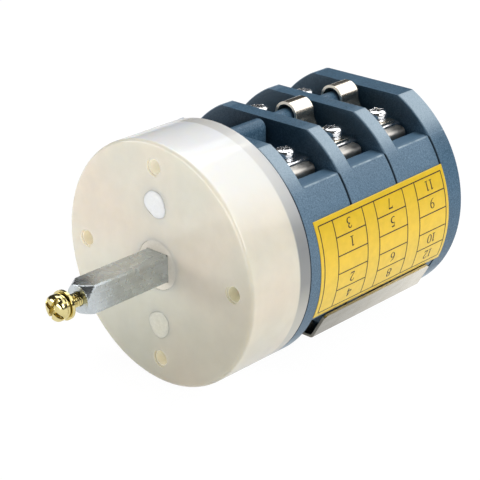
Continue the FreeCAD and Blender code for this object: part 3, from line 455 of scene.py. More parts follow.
def plated(name, bright, dull, rough, grain=(1.0, 1.0, 1.0), depth=0.003, edge=0.12, recess=None, strip=False):
    """Metal whose colour drifts between two tones in clouds, and its roughness along its grain. Recesses get
    painted shade where one is given. Strip has matt edges where it looks along the switch, and the bar below is
    painted darker towards the front as painted shade."""
    made = Finish(name)
    along = made.noise(0.6, 2.0, 0.5, made.stretched(*grain))
    colour = made.ramp(made.noise(0.22, 3.0, 0.6), (0.35, dull), (0.6, bright))
    roughness = made.between(along, 0.3, 0.7, *rough)
    # Painted shade in the recesses, darker where the place is more shut in.
    if recess:
        colour = made.mix(made.between(made.hollow(1.2), 0.25, 0.6), colour, recess)
    if strip:
        sheared = made.between(made.maths("ABSOLUTE", made.facing()[1]), 0.8, 0.95)
        roughness = made.maths("ADD", made.times(sheared, SHEARED_MATT), roughness)
        x, y, z = made.axes()
        # Painted shade: the bar below is darker towards the front.
        bar_shade = made.ramp(made.between(y, 30.0, 82.0), *BAR_PAINTED_SHADE)
        colour = made.mix(made.between(z, 4.0, -4.0), colour, bar_shade, "MULTIPLY")
    made.finish(Base_Color=colour, Metallic=1.0, Roughness=roughness,
                Normal=made.rounded(edge, made.bump(along, depth, 0.5)))


plated("bright_zinc", (0.92, 0.93, 0.94), (0.82, 0.83, 0.85), (0.15, 0.24), recess=(0.10, 0.10, 0.10))
plated("yellow_zinc", (0.74, 0.64, 0.31), (0.60, 0.50, 0.20), (0.10, 0.20), recess=(0.22, 0.15, 0.05))
plated("jumper_nickel", (0.97, 0.91, 0.80), (0.90, 0.83, 0.70), (0.16, 0.25), (1.0, 0.15, 1.0), 0.006, strip=True)
plated("contact_brass", (0.72, 0.69, 0.64), (0.64, 0.60, 0.54), (0.30, 0.38), depth=0.0005, edge=0.3)
plated("spring_steel", (0.42, 0.42, 0.43), (0.30, 0.30, 0.31), (0.25, 0.40))


# %% Shaft steel
def shaft_steel():
    """Spangle in two bluish tones, streaks drawn out nearly thirty times along the shaft, and scattered pits."""
    made = Finish("shaft_steel")
    drawn = made.noise(1.1, 4.0, 0.6, made.stretched(1.0, 0.035, 1.0))
    spangle = made.noise(0.35, 2.0, 0.5)
    pits = made.between(made.cells(0.30), 0.0, 0.06, 1.0, 0.0)
    colour = made.ramp(spangle, (0.3, (0.56, 0.605, 0.63)), (0.7, (0.65, 0.70, 0.73)))
    colour = made.mix(1.0, colour, made.ramp(drawn, (0.35, 0.90), (0.65, 1.0)), "MULTIPLY")
    colour = made.mix(made.times(pits, 0.6), colour, (0.14, 0.14, 0.14))
    made.finish(Base_Color=colour, Metallic=1.0, Roughness=made.between(spangle, 0.3, 0.7, 0.25, 0.29),
                Normal=made.rounded(0.45, made.bump(drawn, 0.006, 0.5)))


shaft_steel()

# %% [markdown]
# ## Plain plastics inside, and the label's vinyl and ink
# The driver, the cams, the plungers and the plate behind the cover are seldom seen, but each has its own tone
# and a light moulded grain, so that they are right in any view that looks in from behind. The label is a soft
# yellow vinyl with a painted reflection that makes it paler towards its foot and deeper in tone at its top, and
# its brown ink is patchy.


# %% Plain plastics, vinyl and ink
def moulded(name, dark, light, roughness):
    made = Finish(name)
    grain = made.noise(1.5, 3.0, 0.6)
    made.finish(Base_Color=made.ramp(grain, (0.3, dark), (0.7, light)), Roughness=roughness,
                Normal=made.bump(grain, 0.02, 0.4))


def label_vinyl():
    made = Finish("label_vinyl")
    x, y, z = made.axes()
    # Painted reflection: paler towards the foot and deeper in tone at the top.
    tone = made.ramp(made.between(z, -16.5, 13.5), (0.0, (0.86, 0.61, 0.075)), (0.6, (0.87, 0.58, 0.035)),
                     (1.0, (0.76, 0.50, 0.010)))
    mottle = made.ramp(made.noise(0.5, 3.0), (0.35, 0.93), (0.65, 1.0))
    made.finish(Base_Color=made.mix(1.0, tone, mottle, "MULTIPLY"), Roughness=0.38,
                Normal=made.bump(made.noise(1.4, 2.0), 0.015, 0.4))


def print_ink():
    made = Finish("print_ink")
    patchy = made.ramp(made.noise(3.0, 2.0), (0.3, (0.012, 0.006, 0.003)), (0.7, (0.040, 0.021, 0.008)))
    made.finish(Base_Color=patchy, Roughness=0.45)


moulded("spigot_plastic", (0.03, 0.04, 0.06), (0.05, 0.06, 0.09), 0.5)
moulded("driver_plastic", (0.72, 0.67, 0.57), (0.78, 0.73, 0.63), 0.35)
moulded("plunger_plastic", (0.05, 0.03, 0.02), (0.09, 0.06, 0.04), 0.45)
label_vinyl()
print_ink()

# %% [markdown]
# ## Dressing the solids
# A packed solid is loose triangles, so light breaks at each of them. A visible solid therefore gets a dressed
# copy: its corners are joined, walls that meet at a small angle shade as one round, and sharper edges stay crisp.
# The fine broken edge that catches the light is left to the finish, which turns the normals over every edge.

# %% Dressed copies
JOIN_MM, SLIVER_MM = 0.002, 0.001


def in_scene(name, data):
    """A new object that holds the data and is part of the scene."""
    thing = bpy.data.objects.new(name, data)
    bpy.context.scene.collection.objects.link(thing)
    return thing


def dressed(node, crease_deg=32.0):
    """A joined copy of a solid that shades round wherever its faces meet below the crease angle."""
    mesh = NODES[node].data.copy()
    mesh.name = node + "_dressed"
    shape = bmesh.new()
    shape.from_mesh(mesh)
    bmesh.ops.remove_doubles(shape, verts=shape.verts, dist=JOIN_MM * MM)
    bmesh.ops.dissolve_degenerate(shape, edges=shape.edges, dist=SLIVER_MM * MM)
    for face in shape.faces:
        face.smooth = True
    for edge in shape.edges:
        edge.smooth = len(edge.link_faces) == 2 and edge.calc_face_angle(0.0) < math.radians(crease_deg)
    shape.to_mesh(mesh)
    shape.free()
    if "custom_normal" in mesh.attributes:
        mesh.attributes.remove(mesh.attributes["custom_normal"])
    mesh.materials.clear()
    mesh.materials.append(MATERIALS[SLOT_OF[node]])
    piece = in_scene(node + "_dressed", mesh)
    evened = piece.modifiers.new("even shading", "WEIGHTED_NORMAL")
    evened.keep_sharp = True
    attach(piece, BODY_OF[node])
    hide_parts(node)


for node, cad in NODES.items():
    cad.data.materials.clear()
    cad.data.materials.append(MATERIALS[SLOT_OF[node]])
SHOWN = ["front_cover", "hole_plugs", "stage_1_housing", "stage_2_housing", "stage_3_housing", "end_plate",
         "end_flat_washer", "clamp_plates", "jumper_strap_2", "jumper_strap_3", "link_bar", "tie_screws"]
SHOWN += ["fixed_contact_%d" % number for number in range(1, 13)]
for node in SHOWN:
    dressed(node)
dressed("shaft", crease_deg=18.0)
print("dressed:", len(SHOWN) + 1)

# %% [markdown]
# ## Screws with crossed recesses
# Every screw is a pan head with a crossed recess. It could be cut out of primitives with booleans, but those leave
# ragged faces that shade badly. So its top is a square grid that is pressed into a disc: some of its lines run
# along the arms, and the recess gets straight, sharp walls. From the disc's rim the surface goes on as rings, down
# the side of the head, in under it, and along the thread, where the ring's radius swings with its angle and turns
# plain rings into a helix. The lock washers are a rounded section carried once round a shallow helix. A shape is
# three arrays: points in millimetres, quads, and caps, which are faces with more corners.

# %% A mesh from arrays
NO_CAPS = np.empty((0, 3), int)


def mesh_piece(name, shape, material, body, crease_deg=0.0):
    """A mesh object from a shape, riding on a body."""
    points, quads, caps = shape
    mesh = bpy.data.meshes.new(name)
    mesh.from_pydata((points.reshape(-1, 3) * MM).tolist(), [], quads.tolist() + caps.tolist())
    mesh.polygons.foreach_set("use_smooth", np.ones(len(mesh.polygons), bool))
    if crease_deg:
        mesh.set_sharp_from_angle(angle=math.radians(crease_deg))
    mesh.materials.append(MATERIALS[material])
    mesh.update()
    piece = in_scene(name, mesh)
    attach(piece, body)
    print(name, len(mesh.polygons), "faces")
    return piece


def grid_faces(rows, columns, around=False):
    """Quads between the points of a grid that is stored row by row, closed round the last column if asked."""
    r, c = np.meshgrid(np.arange(rows - 1), np.arange(columns if around else columns - 1), indexing="ij")
    n = (c + 1) % columns
    corners = [r * columns + c, r * columns + n, (r + 1) * columns + n, (r + 1) * columns + c]
    return np.stack(corners, -1).reshape(-1, 4)


print("quads in a 3 by 4 grid:", len(grid_faces(3, 4)))

# %% One screw
WALL, DOME, ARM_FALL, THREAD_STEPS, FOOT_CHAMFER = 0.02, 2.6, 0.7, 5, 0.12


def head_lines(half_arm, far, lines):
    """Grid lines over a head of radius 1, from side to side, with a close pair at each wall of the recess."""
    if far < 1.0:
        outer = [np.linspace(half_arm + 0.1, far - 0.08, lines // 2), [far - WALL, far + WALL],
                 np.linspace(far + 0.07, 1.0, lines // 2)]
    else:
        outer = [np.linspace(half_arm + 0.1, 1.0, lines)]
    half = np.concatenate([[0.0, half_arm - WALL, half_arm + WALL], *outer])
    return np.concatenate([-half[:0:-1], half])


def pan_head(radius, side_high, high, arm_half, arm_long, deep, lines=9):
    """A square grid pressed into a disc, x = u sqrt(1 - v^2 / 2) and y = v sqrt(1 - u^2 / 2). Its height is side +
    (high - side) * sqrt(1 - r^dome), less the recess, whose depth falls to three tenths along each arm."""
    half_arm, far = arm_half / radius, arm_long / radius
    line = head_lines(half_arm, far, lines)
    u, v = np.meshgrid(line, line)
    x, y = u * np.sqrt(1 - v**2 / 2), v * np.sqrt(1 - u**2 / 2)
    r = np.clip(np.hypot(x, y), 0.0, 1.0)
    top = side_high + (high - side_high) * np.sqrt(np.clip(1 - r**DOME, 0.0, 1.0))
    arms = [np.where((np.abs(b) < half_arm) & (np.abs(a) < far), deep * (1 - ARM_FALL * np.abs(a) / far), 0.0)
            for a, b in ((u, v), (v, u))]
    return np.stack([x * radius, y * radius, top - np.maximum(*arms)], -1)


def pan_screw(radius, side_high, shank, root, length, pitch, **crown):
    """The head on z = 0, then rings: round its side, in under it and down the shank. A ring's radius is the
    shank's less the thread's depth times a triangle wave of height and turn. All in millimetres."""
    top = pan_head(radius, side_high, **crown)
    n = len(top)
    index = np.arange(n * n).reshape(n, n)
    rim = np.concatenate([index[0, :-1], index[:-1, -1], index[-1, :0:-1], index[:0:-1, 0]])
    turn = np.arctan2(top[..., 1], top[..., 0]).reshape(-1)[rim]
    steps = int(length / pitch * THREAD_STEPS)
    down = -length * np.arange(1, steps + 1) / steps
    level = np.concatenate([[side_high / 2, FOOT_CHAMFER, 0.0, 0.0], down])[:, None]
    reach = np.concatenate([[radius, radius, radius - FOOT_CHAMFER], np.full(steps + 1, shank)])[:, None]
    wave = np.abs(((-level - pitch * turn / (2 * np.pi)) / pitch) % 1.0 * 2 - 1)
    reach = reach - (level < 0) * (shank - root) * wave
    rings = np.stack([reach * np.cos(turn), reach * np.sin(turn), level + 0 * reach], -1)
    loops = np.vstack([rim, n * n + np.arange(rings[..., 0].size).reshape(len(rings), -1)])
    beside = np.roll(loops, -1, axis=1)
    around = np.stack([loops[:-1], loops[1:], beside[1:], beside[:-1]], -1).reshape(-1, 4)
    points = np.concatenate([top.reshape(-1, 3), rings.reshape(-1, 3)])
    return points, np.concatenate([grid_faces(n, n), around]), loops[-1:, ::-1]


head = pan_screw(3.05, 1.15, shank=1.93, root=1.6, length=8.9, pitch=0.7,
                 high=2.28, arm_half=0.32, arm_long=1.95, deep=0.8)
print("points of a terminal screw:", len(head[0]))


# %% One lock washer
def lock_washer(inner, outer, thick, rise, gap_deg=9.0, steps=72):
    """A rounded rectangle carried round the axis from one side of the gap to the other, rising all the way. Its
    lowest point is at z = 0."""
    corner = min(outer - inner, thick) * 0.22
    quarter = np.linspace(0, np.pi / 2, 4)
    arc = np.stack([np.cos(quarter), np.sin(quarter)], -1) * corner
    middle = np.array([(outer - inner) / 2 - corner, thick / 2 - corner])
    section = np.concatenate([arc + middle, arc[:, ::-1] * (-1, 1) + middle * (-1, 1),
                              -arc - middle, arc[:, ::-1] * (1, -1) + middle * (1, -1)])
    angle = np.radians(np.linspace(gap_deg / 2, 360 - gap_deg / 2, steps))[:, None]
    r = (inner + outer) / 2 + section[None, :, 0]
    z = thick / 2 + section[None, :, 1] + rise * (angle / (2 * np.pi))
    points = np.stack([r * np.cos(angle), r * np.sin(angle), z], -1)
    first = np.arange(len(section))
    caps = np.stack([first, ((steps - 1) * len(section) + first)[::-1]])
    return points.reshape(-1, 3), grid_faces(steps, len(section), around=True)[:, ::-1], caps


washer = lock_washer(inner=2.1, outer=2.95, thick=0.72, rise=0.14)
print("points of its washer:", len(washer[0]))

# %% Screws in their places
SEAT_Z, HEAD_UP, WASHER_UP = 22.4, 2.36, 1.42
TERMINAL_X, TERMINAL_IN = 13.85, 13.3
STRIP_MM, STRIP_GAP = 0.8, 0.05
HEAD_TURNS = (24, 71, 48, 5, 12, 63, 80, 33, 57, 18, 40, 66)
WASHER_TURNS = (200, 310, 95, 20, 260, 150, 330, 60, 230, 110, 10, 290)


def many(shape, spots):
    """Copies of a shape. A spot is x, y, z, sign and turn: a copy is turned about its own axis to (x cos - y sin,
    x sin + y cos), stood on its head by a half turn about x where the sign is -1, and moved there."""
    points, quads, caps = shape
    spots = np.asarray(spots, float)
    c, s = np.cos(np.radians(spots[:, 4:])), np.sin(np.radians(spots[:, 4:]))
    sign = spots[:, 3:4]
    x, y, z = points.T
    copies = np.stack([c * x - s * y, sign * (s * x + c * y), sign * z], -1) + spots[:, None, :3]
    shift = len(points) * np.arange(len(spots))[:, None, None]
    return copies.reshape(-1, 3), (quads + shift).reshape(-1, 4), (caps + shift).reshape(-1, caps.shape[1])


def terminal_spots(above_seat, turns):
    """The twelve terminals. The top ones of the last two stages and the lower right ones stand on a strip."""
    spots = []
    for stage in range(3):
        for side in (1, -1):
            for sign in (1, -1):
                on_strip = stage > 0 if sign > 0 else side > 0
                level = SEAT_Z + above_seat + (STRIP_MM + STRIP_GAP if on_strip else 0.0)
                spots.append((side * TERMINAL_X, STAGE_FRONTS[stage] + TERMINAL_IN, sign * level, sign,
                              turns[len(spots)]))
    return spots


def stand_for(node, name, shape, material):
    """A piece in the place of a node."""
    piece = mesh_piece(name, shape, material, BODY_OF[node], crease_deg=34.0)
    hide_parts(node)


stand_for("terminal_screws", "terminal_pan_screws", many(head, terminal_spots(HEAD_UP, HEAD_TURNS)),
          "bright_zinc")
stand_for("terminal_spring_washers", "terminal_lock_washers",
          many(washer, terminal_spots(WASHER_UP, WASHER_TURNS)), "bright_zinc")

# %% [markdown]
# ## The lever's screw
# The same two shapes, larger and in yellow zinc, hold the lever on the shaft's end. Here the recess runs out over
# the head's edge, and the washer is wider. They are made upright like the others and then laid forward.

# %% The end screw and its lock washer
END_SEAT, WASHER_BACK, END_TURN, END_WASHER_TURN = -34.5, 1.13, 62.0, 150.0


def laid_forward(shape, along, turn_deg):
    """Turned about its axis, then a quarter turn about x, (x, along - z, y), so that up becomes the front."""
    points, quads, caps = many(shape, [(0.0, 0.0, 0.0, 1, turn_deg)])
    x, y, z = points.T
    return np.stack([x, along - z, y], -1), quads, caps


end_screw = pan_screw(3.6, 1.15, shank=1.93, root=1.56, length=16.9, pitch=0.7,
                      high=2.48, arm_half=0.66, arm_long=3.75, deep=1.65, lines=15)
stand_for("end_screw", "end_pan_screw", laid_forward(end_screw, END_SEAT, END_TURN), "yellow_zinc")
end_washer = lock_washer(inner=2.1, outer=3.45, thick=0.85, rise=0.20, gap_deg=11.0)
stand_for("end_spring_washer", "end_lock_washer",
          laid_forward(end_washer, END_SEAT + WASHER_BACK, END_WASHER_TURN), "yellow_zinc")

# %% [markdown]
# ## The filled wells
# The two wells over the tie screws are filled by hand with molten nylon, so each filling stands a little proud
# and runs over the well's edge here and there. A plain disc would look like a turned plug. Its outline is
# therefore a circle whose radius is swelled by a few cosines, and its height falls from the middle to the outline
# like a dome.

# %% Poured fillings
WELL_AT, WELL_FILL_R, FILLING_FOOT = 17.6, 3.85, 0.3
UPPER_SWELL = ((2, 0.06, 0.4), (3, 0.045, 1.9), (5, 0.02, 0.7))
LOWER_SWELL = ((2, 0.03, 1.3), (3, 0.03, 0.2), (4, 0.02, 2.2))


def poured(middle_z, swell, high, turn_deg):
    """Radius times (1 + sum of a cos(n angle + phase)), and height times (1 - share^4) times a lump with three
    sides, (1 + cos(3 angle + 4 share) share / 4). A last ring goes back into the face."""
    shares = np.append(np.linspace(0.06, 1.0, 14), 1.0)
    share, angle = np.meshgrid(shares, np.linspace(0, 2 * np.pi, 72, endpoint=False), indexing="ij")
    turned = angle + math.radians(turn_deg)
    outline = WELL_FILL_R * (1 + sum(a * np.cos(n * turned + phase) for n, a, phase in swell))
    rise = high * (1 - share**4) * (1 + 0.25 * np.cos(3 * turned + 4 * share) * share)
    rise[-1] = -FILLING_FOOT
    points = np.stack([share * outline * np.cos(angle), -rise, middle_z + share * outline * np.sin(angle)], -1)
    rows, columns = share.shape
    first = np.arange(columns)
    caps = np.stack([first[::-1], (rows - 1) * columns + first])
    return points.reshape(-1, 3), grid_faces(rows, columns, around=True), caps


upper = poured(WELL_AT, UPPER_SWELL, high=0.55, turn_deg=20.0)
lower = poured(-WELL_AT, LOWER_SWELL, high=0.35, turn_deg=75.0)
mesh_piece("upper_filling", upper, "plug_nylon", "root")
mesh_piece("lower_filling", lower, "plug_nylon", "root")

# %% [markdown]
# ## The label
# The label is a yellow sticker that follows the round side. It was laid on a little crooked, so its four corners
# are given one by one, and every point of it is found between them: a share along and a share down are blended
# between the corners, and the result is wrapped round the axis. A picture could carry the print, but it would
# blur up close. The print uses the sheet's own rule instead, so that lines and numbers bend with it. A faint
# ripple dies away below the top edge, where a sticker never lies quite flat.

# %% The sheet
LABEL_R, LABEL_MM = 35.12, 0.07
LABEL_TOP = ((25.95, 22.2), (81.85, 23.3))
LABEL_FOOT = ((27.35, -26.4), (83.60, -27.2))
ROWS, COLUMNS = 72, 150


def on_label(along, down, lift=0.0):
    """Blends the corners' places along the axis and angles, then x = r cos(angle) and z = r sin(angle)."""
    along, down = np.asarray(along, float)[..., None], np.asarray(down, float)[..., None]
    top = (1 - along) * LABEL_TOP[0] + along * LABEL_TOP[1]
    foot = (1 - along) * LABEL_FOOT[0] + along * LABEL_FOOT[1]
    place = (1 - down) * top + down * foot
    y, angle = place[..., 0], np.radians(place[..., 1])
    radius = LABEL_R + lift
    return np.stack([radius * np.cos(angle), y, radius * np.sin(angle)], axis=-1)


down, along = np.meshgrid(np.linspace(0, 1, ROWS), np.linspace(0, 1, COLUMNS), indexing="ij")
ripple = 0.012 * np.sin(along * 31.0 + 2.0 * down) * np.exp(-down * 6.0)
sheet = mesh_piece("label_sheet", (on_label(along, down, ripple), grid_faces(ROWS, COLUMNS)[:, ::-1], NO_CAPS),
                   "label_vinyl", "root")
backing = sheet.modifiers.new("backing", "SOLIDIFY")
backing.thickness = LABEL_MM * MM
backing.offset = -1.0
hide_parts("label")

# %% [markdown]
# ## The print
# A thin border runs round the sheet. Inside it stand three columns of five cells with empty strips between them.
# The numbers of the terminals stand on their heads in the cells, as they do on the real label, because they are
# read from behind. Each line is a ribbon: two rows of points, half a line's width either side of its path.

# %% Lines
LABEL_LONG, LABEL_DEEP = 55.9, 29.9
INK_LIFT, INK_OVER, LINE = 0.016, 0.0004, 0.34
BORDER_LEFT, BORDER_RIGHT, BORDER_TOP, BORDER_FOOT = 0.025, 0.977, 0.054, 0.950
COLUMN_EDGES = ((0.127, 0.347), (0.438, 0.660), (0.758, 0.977))
ROW_EDGES = (0.225, 0.404, 0.584, 0.760)


def ribbon(path, widths, lift):
    """Two rows of points beside a path in millimetres on the label: the path plus and minus half its width along
    the path's own normal, which is its direction turned by a quarter."""
    path, widths = np.asarray(path, float), np.broadcast_to(np.asarray(widths, float), len(path))
    step = np.gradient(path, axis=0)
    step /= np.linalg.norm(step, axis=1, keepdims=True)
    beside = np.stack([-step[:, 1], step[:, 0]], -1) * widths[:, None] / 2
    flat = np.stack([path - beside, path + beside], axis=1)
    return on_label(flat[..., 0] / LABEL_LONG, flat[..., 1] / LABEL_DEEP, lift).reshape(-1, 3)


def straight(first, last, count=24):
    """Evenly spaced points between two places, which are given as shares of the label."""
    share = np.linspace(0, 1, count)[:, None]
    size = (LABEL_LONG, LABEL_DEEP)
    return (1 - share) * np.array(first) * size + share * np.array(last) * size


def joined(ribbons):
    """Every ribbon's points in one array, with the quads of each moved on by the points before it."""
    bases = np.cumsum([0] + [len(strip) for strip in ribbons[:-1]])
    quads = [grid_faces(len(strip) // 2, 2) + base for strip, base in zip(ribbons, bases)]
    return np.concatenate(ribbons), np.concatenate(quads), NO_CAPS


lines = [straight((BORDER_LEFT, row), (BORDER_RIGHT, row), 60) for row in (BORDER_TOP, BORDER_FOOT)]
lines += [straight((edge, BORDER_TOP), (edge, BORDER_FOOT)) for edge in (BORDER_LEFT, BORDER_RIGHT)]
for low_edge, high_edge in COLUMN_EDGES:
    lines.append(straight((low_edge, BORDER_TOP), (low_edge, BORDER_FOOT)))
    if high_edge < BORDER_RIGHT:
        lines.append(straight((high_edge, BORDER_TOP), (high_edge, BORDER_FOOT)))
    lines += [straight((low_edge, row), (high_edge, row)) for row in ROW_EDGES]
ruled = joined([ribbon(path, LINE, INK_LIFT + INK_OVER * i) for i, path in enumerate(lines)])
mesh_piece("label_lines", ruled, "print_ink", "root")

# %% [markdown]
# ## The numbers
# The numerals have a book face: thick and thin strokes with a foot on the one and a bar on the seven. A font may
# be missing on another machine, so each stroke is a smooth curve through a few knots, as wide as the pen at each
# of them. A knot is a place across, a place up and the pen's width, all as shares of the numeral's height.

# %% Knots of the numerals
STROKES = {
    "1": [[(0.27, 0.02, 0.11), (0.27, 0.96, 0.11)], [(0.28, 0.97, 0.05), (0.19, 0.89, 0.06), (0.10, 0.85, 0.03)],
          [(0.11, 0.02, 0.045), (0.43, 0.02, 0.045)]],
    "2": [[(0.06, 0.74, 0.05), (0.11, 0.89, 0.07), (0.23, 0.96, 0.07), (0.37, 0.87, 0.11), (0.38, 0.68, 0.12),
           (0.27, 0.42, 0.09), (0.06, 0.07, 0.05)], [(0.05, 0.05, 0.10), (0.42, 0.05, 0.10)],
          [(0.42, 0.04, 0.06), (0.46, 0.20, 0.04)]],
    "3": [[(0.07, 0.80, 0.05), (0.14, 0.92, 0.07), (0.25, 0.96, 0.07), (0.37, 0.86, 0.11), (0.34, 0.67, 0.09),
           (0.19, 0.55, 0.04)], [(0.19, 0.55, 0.04), (0.36, 0.49, 0.09), (0.42, 0.30, 0.12), (0.34, 0.09, 0.09),
                                 (0.18, 0.02, 0.06), (0.05, 0.08, 0.08)]],
    "4": [[(0.33, 0.95, 0.05), (0.04, 0.31, 0.05)], [(0.02, 0.28, 0.09), (0.47, 0.28, 0.09)],
          [(0.34, 0.00, 0.11), (0.34, 0.97, 0.11)]],
    "5": [[(0.14, 0.92, 0.10), (0.43, 0.92, 0.10)], [(0.15, 0.94, 0.05), (0.10, 0.58, 0.04)],
          [(0.10, 0.58, 0.05), (0.26, 0.58, 0.08), (0.39, 0.46, 0.12), (0.40, 0.25, 0.12), (0.29, 0.07, 0.08),
           (0.14, 0.02, 0.06), (0.04, 0.07, 0.08)]],
    "6": [[(0.44, 0.96, 0.03), (0.26, 0.86, 0.07), (0.11, 0.62, 0.11), (0.07, 0.34, 0.12), (0.13, 0.11, 0.09),
           (0.25, 0.02, 0.05), (0.38, 0.11, 0.09), (0.42, 0.30, 0.11), (0.36, 0.48, 0.09), (0.24, 0.55, 0.06),
           (0.10, 0.45, 0.04)]],
    "7": [[(0.04, 0.92, 0.11), (0.46, 0.92, 0.11)], [(0.06, 0.94, 0.06), (0.03, 0.76, 0.03)],
          [(0.44, 0.92, 0.05), (0.33, 0.50, 0.07), (0.21, 0.01, 0.10)]],
}
print("numerals with knots:", len(STROKES))


# %% Strokes
def smooth_stroke(knots, count=26):
    """A curve through the knots: between two of them it is a cubic whose slopes follow their neighbours."""
    knots = np.array(knots, float)
    if len(knots) == 2:
        share = np.linspace(0, 1, 4)[:, None]
        return (1 - share) * knots[0] + share * knots[1]
    slopes = np.gradient(knots, axis=0)
    place = np.linspace(0, len(knots) - 1 - 1e-9, count)
    cell = place.astype(int)
    f = (place - cell)[:, None]
    a, b = knots[cell], knots[cell + 1]
    return (a * (2 * f**3 - 3 * f**2 + 1) + slopes[cell] * (f**3 - 2 * f**2 + f)
            + b * (3 * f**2 - 2 * f**3) + slopes[cell + 1] * (f**3 - f**2))


def loop_stroke(middle_x, middle_y, reach_x, reach_y, count=34):
    """An oval pen stroke, thick at its sides and thin at its top and foot."""
    turn = np.linspace(0, 2 * np.pi, count)
    return np.stack([middle_x + reach_x * np.cos(turn), middle_y + reach_y * np.sin(turn),
                     0.045 + 0.075 * np.abs(np.cos(turn))], -1)


def numeral(character):
    """The strokes of one numeral in shares of its height. A nine is a six that stands on its head."""
    if character == "0":
        return [loop_stroke(0.25, 0.49, 0.19, 0.46)]
    if character == "8":
        return [loop_stroke(0.25, 0.73, 0.15, 0.22), loop_stroke(0.25, 0.26, 0.18, 0.24)]
    if character == "9":
        return [stroke * (-1, -1, 1) + (0.5, 0.98, 0.0) for stroke in numeral("6")]
    return [smooth_stroke(knots) for knots in STROKES[character]]


print("points in a nine:", sum(len(stroke) for stroke in numeral("9")))

# %% Numbers in their cells
NUMERAL_HIGH, NUMERAL_WIDE, NUMERAL_STEP, PEN = 2.95, 1.38, 0.46, 1.35
NUMERAL_MIDDLE, STROKE_OVER = (0.25, 0.49), 0.001
CELL_NUMBERS = (("3", "1", "", "2", "4"), ("7", "5", "", "6", "8"), ("11", "9", "", "10", "12"))


def number_ribbons(text, along, down):
    """A number turned upside down with its middle at a share along and down the label."""
    ribbons = []
    for place, character in enumerate(text):
        for order, stroke in enumerate(numeral(character)):
            aside = (place - (len(text) - 1) / 2) * NUMERAL_STEP
            across = (stroke[:, 0] - NUMERAL_MIDDLE[0] + aside) * NUMERAL_HIGH * NUMERAL_WIDE
            high = (stroke[:, 1] - NUMERAL_MIDDLE[1]) * NUMERAL_HIGH
            path = np.stack([along * LABEL_LONG - across, down * LABEL_DEEP + high], -1)
            ribbons.append(ribbon(path, stroke[:, 2] * NUMERAL_HIGH * PEN, INK_LIFT + STROKE_OVER * order))
    return ribbons


row_middles = [(a + b) / 2 for a, b in zip((BORDER_TOP, *ROW_EDGES), (*ROW_EDGES, BORDER_FOOT))]
number_strips = []
for (low_edge, high_edge), column in zip(COLUMN_EDGES, CELL_NUMBERS):
    for text, middle in zip(column, row_middles):
        number_strips += number_ribbons(text, (low_edge + high_edge) / 2, middle)
mesh_piece("label_numbers", joined(number_strips), "print_ink", "root")

# %% [markdown]
# ## Floor and backdrop
# The photograph's background is plain white. The floor lies under the lowest point of the cover. To the camera,
# and in a polished surface, it is close to white, but it keeps part of its own shading, so that the switch's
# shadow stays on it.

# %% Floor
FLOOR_MM, FLOOR_HALF = cad_low[2] / MM - 0.02, 3.0
PAPER, WHITE, SEEN_SHARE, GLOSS_SHARE = (0.90, 0.90, 0.90, 1.0), 1.04, 0.93, 0.8


def studio_white():
    """Paper mixed with plain white light, by a share of (camera ray + 0.8 glossy ray)."""
    material = bpy.data.materials.new("studio_white")
    material.use_nodes = True
    tree = material.node_tree
    tree.nodes.clear()
    paper, white, path, seen, share, blend, out = (tree.nodes.new(kind) for kind in (
        "ShaderNodeBsdfDiffuse", "ShaderNodeEmission", "ShaderNodeLightPath", "ShaderNodeMath", "ShaderNodeMath",
        "ShaderNodeMixShader", "ShaderNodeOutputMaterial"))
    paper.inputs["Color"].default_value = PAPER
    white.inputs["Strength"].default_value = WHITE
    seen.operation, share.operation = "MULTIPLY_ADD", "MULTIPLY"
    seen.inputs[1].default_value, share.inputs[1].default_value = GLOSS_SHARE, SEEN_SHARE
    for start, end in ((path.outputs["Is Glossy Ray"], seen.inputs[0]),
                       (path.outputs["Is Camera Ray"], seen.inputs[2]),
                       (seen.outputs[0], share.inputs[0]), (share.outputs[0], blend.inputs["Fac"]),
                       (paper.outputs[0], blend.inputs[1]), (white.outputs[0], blend.inputs[2]),
                       (blend.outputs[0], out.inputs["Surface"])):
        tree.links.new(start, end)
    return material


corners = [(FLOOR_HALF * x, FLOOR_HALF * y, FLOOR_MM * MM) for x, y in ((-1, -1), (1, -1), (1, 1), (-1, 1))]
floor_mesh = bpy.data.meshes.new("floor")
floor_mesh.from_pydata(corners, [], [(0, 1, 2, 3)])
floor_mesh.materials.append(studio_white())
floor = in_scene("floor", floor_mesh)
print("floor at", round(FLOOR_MM, 2), "mm")

# %% [markdown]
# ## Light
# A dim pale room fills the shadows, and four softboxes do the rest. A wide one behind and to the right gives the
# bright band with a hard upper border along the cover's side. One at the right lights the label and the blocks, a
# low strip in front keeps the face from going grey, and one above and to the left whitens the cover's crown. In
# reflections the room is darker still, so that the metal keeps its contrast.

# %% World
ROOM, ROOM_IN_GLOSS = 0.13, 0.05


def world_light():
    """A pale room for soft light, a darker one in reflections, and plain white behind the switch."""
    world = bpy.data.worlds.new("room")
    bpy.context.scene.world = world
    world.use_nodes = True
    tree = world.node_tree
    tree.nodes.clear()
    path = tree.nodes.new("ShaderNodeLightPath")
    out = tree.nodes.new("ShaderNodeOutputWorld")
    last = None
    for level, ray in ((ROOM, None), (ROOM_IN_GLOSS, "Is Glossy Ray"), (WHITE, "Is Camera Ray")):
        tone = tree.nodes.new("ShaderNodeBackground")
        tone.inputs["Color"].default_value = (1.0, 1.0, 1.0, 1.0)
        tone.inputs["Strength"].default_value = level
        if ray is None:
            last = tone.outputs[0]
            continue
        blend = tree.nodes.new("ShaderNodeMixShader")
        tree.links.new(path.outputs[ray], blend.inputs["Fac"])
        tree.links.new(last, blend.inputs[1])
        tree.links.new(tone.outputs[0], blend.inputs[2])
        last = blend.outputs[0]
    tree.links.new(last, out.inputs["Surface"])


world_light()
print("world nodes:", len(bpy.context.scene.world.node_tree.nodes))

# %% Softboxes
LIT_MIDDLE = Vector((0.0, 0.03, 0.0))


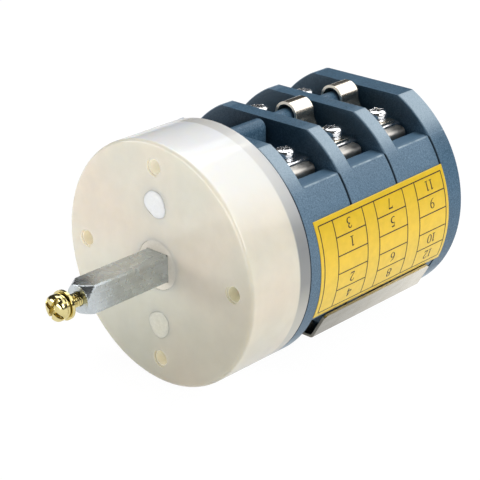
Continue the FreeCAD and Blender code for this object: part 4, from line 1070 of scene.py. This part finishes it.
def softbox(name, side_deg, height_deg, distance, width, tall, glow):
    """A rectangular lamp that looks at the switch's middle. Side is measured from the front towards the right,
    and its power is its glow times pi times its area."""
    side, height = math.radians(side_deg), math.radians(height_deg)
    towards = Vector((math.sin(side) * math.cos(height), -math.cos(side) * math.cos(height), math.sin(height)))
    lamp = bpy.data.lights.new(name, "AREA")
    lamp.shape = "RECTANGLE"
    lamp.size, lamp.size_y = width, tall
    lamp.energy = glow * math.pi * width * tall
    turn = towards.to_track_quat("Z", "Y").to_matrix().to_4x4()
    in_scene(name, lamp).matrix_world = Matrix.Translation(LIT_MIDDLE + towards * distance) @ turn
    print(name, "gives", round(lamp.energy, 2), "W")


softbox("back_box", side_deg=167.0, height_deg=38.0, distance=1.1, width=1.38, tall=0.75, glow=1.65)
softbox("side_box", side_deg=97.5, height_deg=29.0, distance=1.2, width=0.7, tall=0.6, glow=5.75)
softbox("front_box", side_deg=-14.0, height_deg=3.6, distance=1.0, width=1.6, tall=0.19, glow=7.5)
softbox("top_box", side_deg=222.0, height_deg=66.0, distance=1.1, width=0.8, tall=0.7, glow=3.2)

# %% [markdown]
# ## Camera
# The angle was found by fitting the photograph's own dimensions, 70 mm, 89 mm and 8 mm, to the model: a long lens
# from the front right, a little above, turned by less than a degree.

# %% Camera
AZIMUTH, ELEVATION, ROLL = math.radians(43.643), math.radians(23.258), math.radians(-0.850)
CAMERA_SPOT = Vector((292.157, -274.018, 178.914)) * MM
FOCAL_PX, PICTURE_PX, SENSOR_MM = 1637.19, 480.0, 36.0
back = Vector((math.sin(AZIMUTH) * math.cos(ELEVATION), -math.cos(AZIMUTH) * math.cos(ELEVATION),
               math.sin(ELEVATION)))
level = Vector((math.cos(AZIMUTH), math.sin(AZIMUTH), 0.0))
upward = back.cross(level)
right = level * math.cos(ROLL) + upward * math.sin(ROLL)
up = upward * math.cos(ROLL) - level * math.sin(ROLL)
lens = bpy.data.cameras.new("camera")
lens.sensor_width = SENSOR_MM
lens.lens = FOCAL_PX * SENSOR_MM / PICTURE_PX
lens.clip_start, lens.clip_end = 0.01, 20.0
camera = in_scene("camera", lens)
camera.matrix_world = Matrix.Translation(CAMERA_SPOT) @ Matrix((right, up, back)).transposed().to_4x4()
bpy.context.scene.camera = camera
bpy.context.scene.view_settings.view_transform = "Standard"
print("lens:", round(lens.lens, 1), "mm")

# %% [markdown]
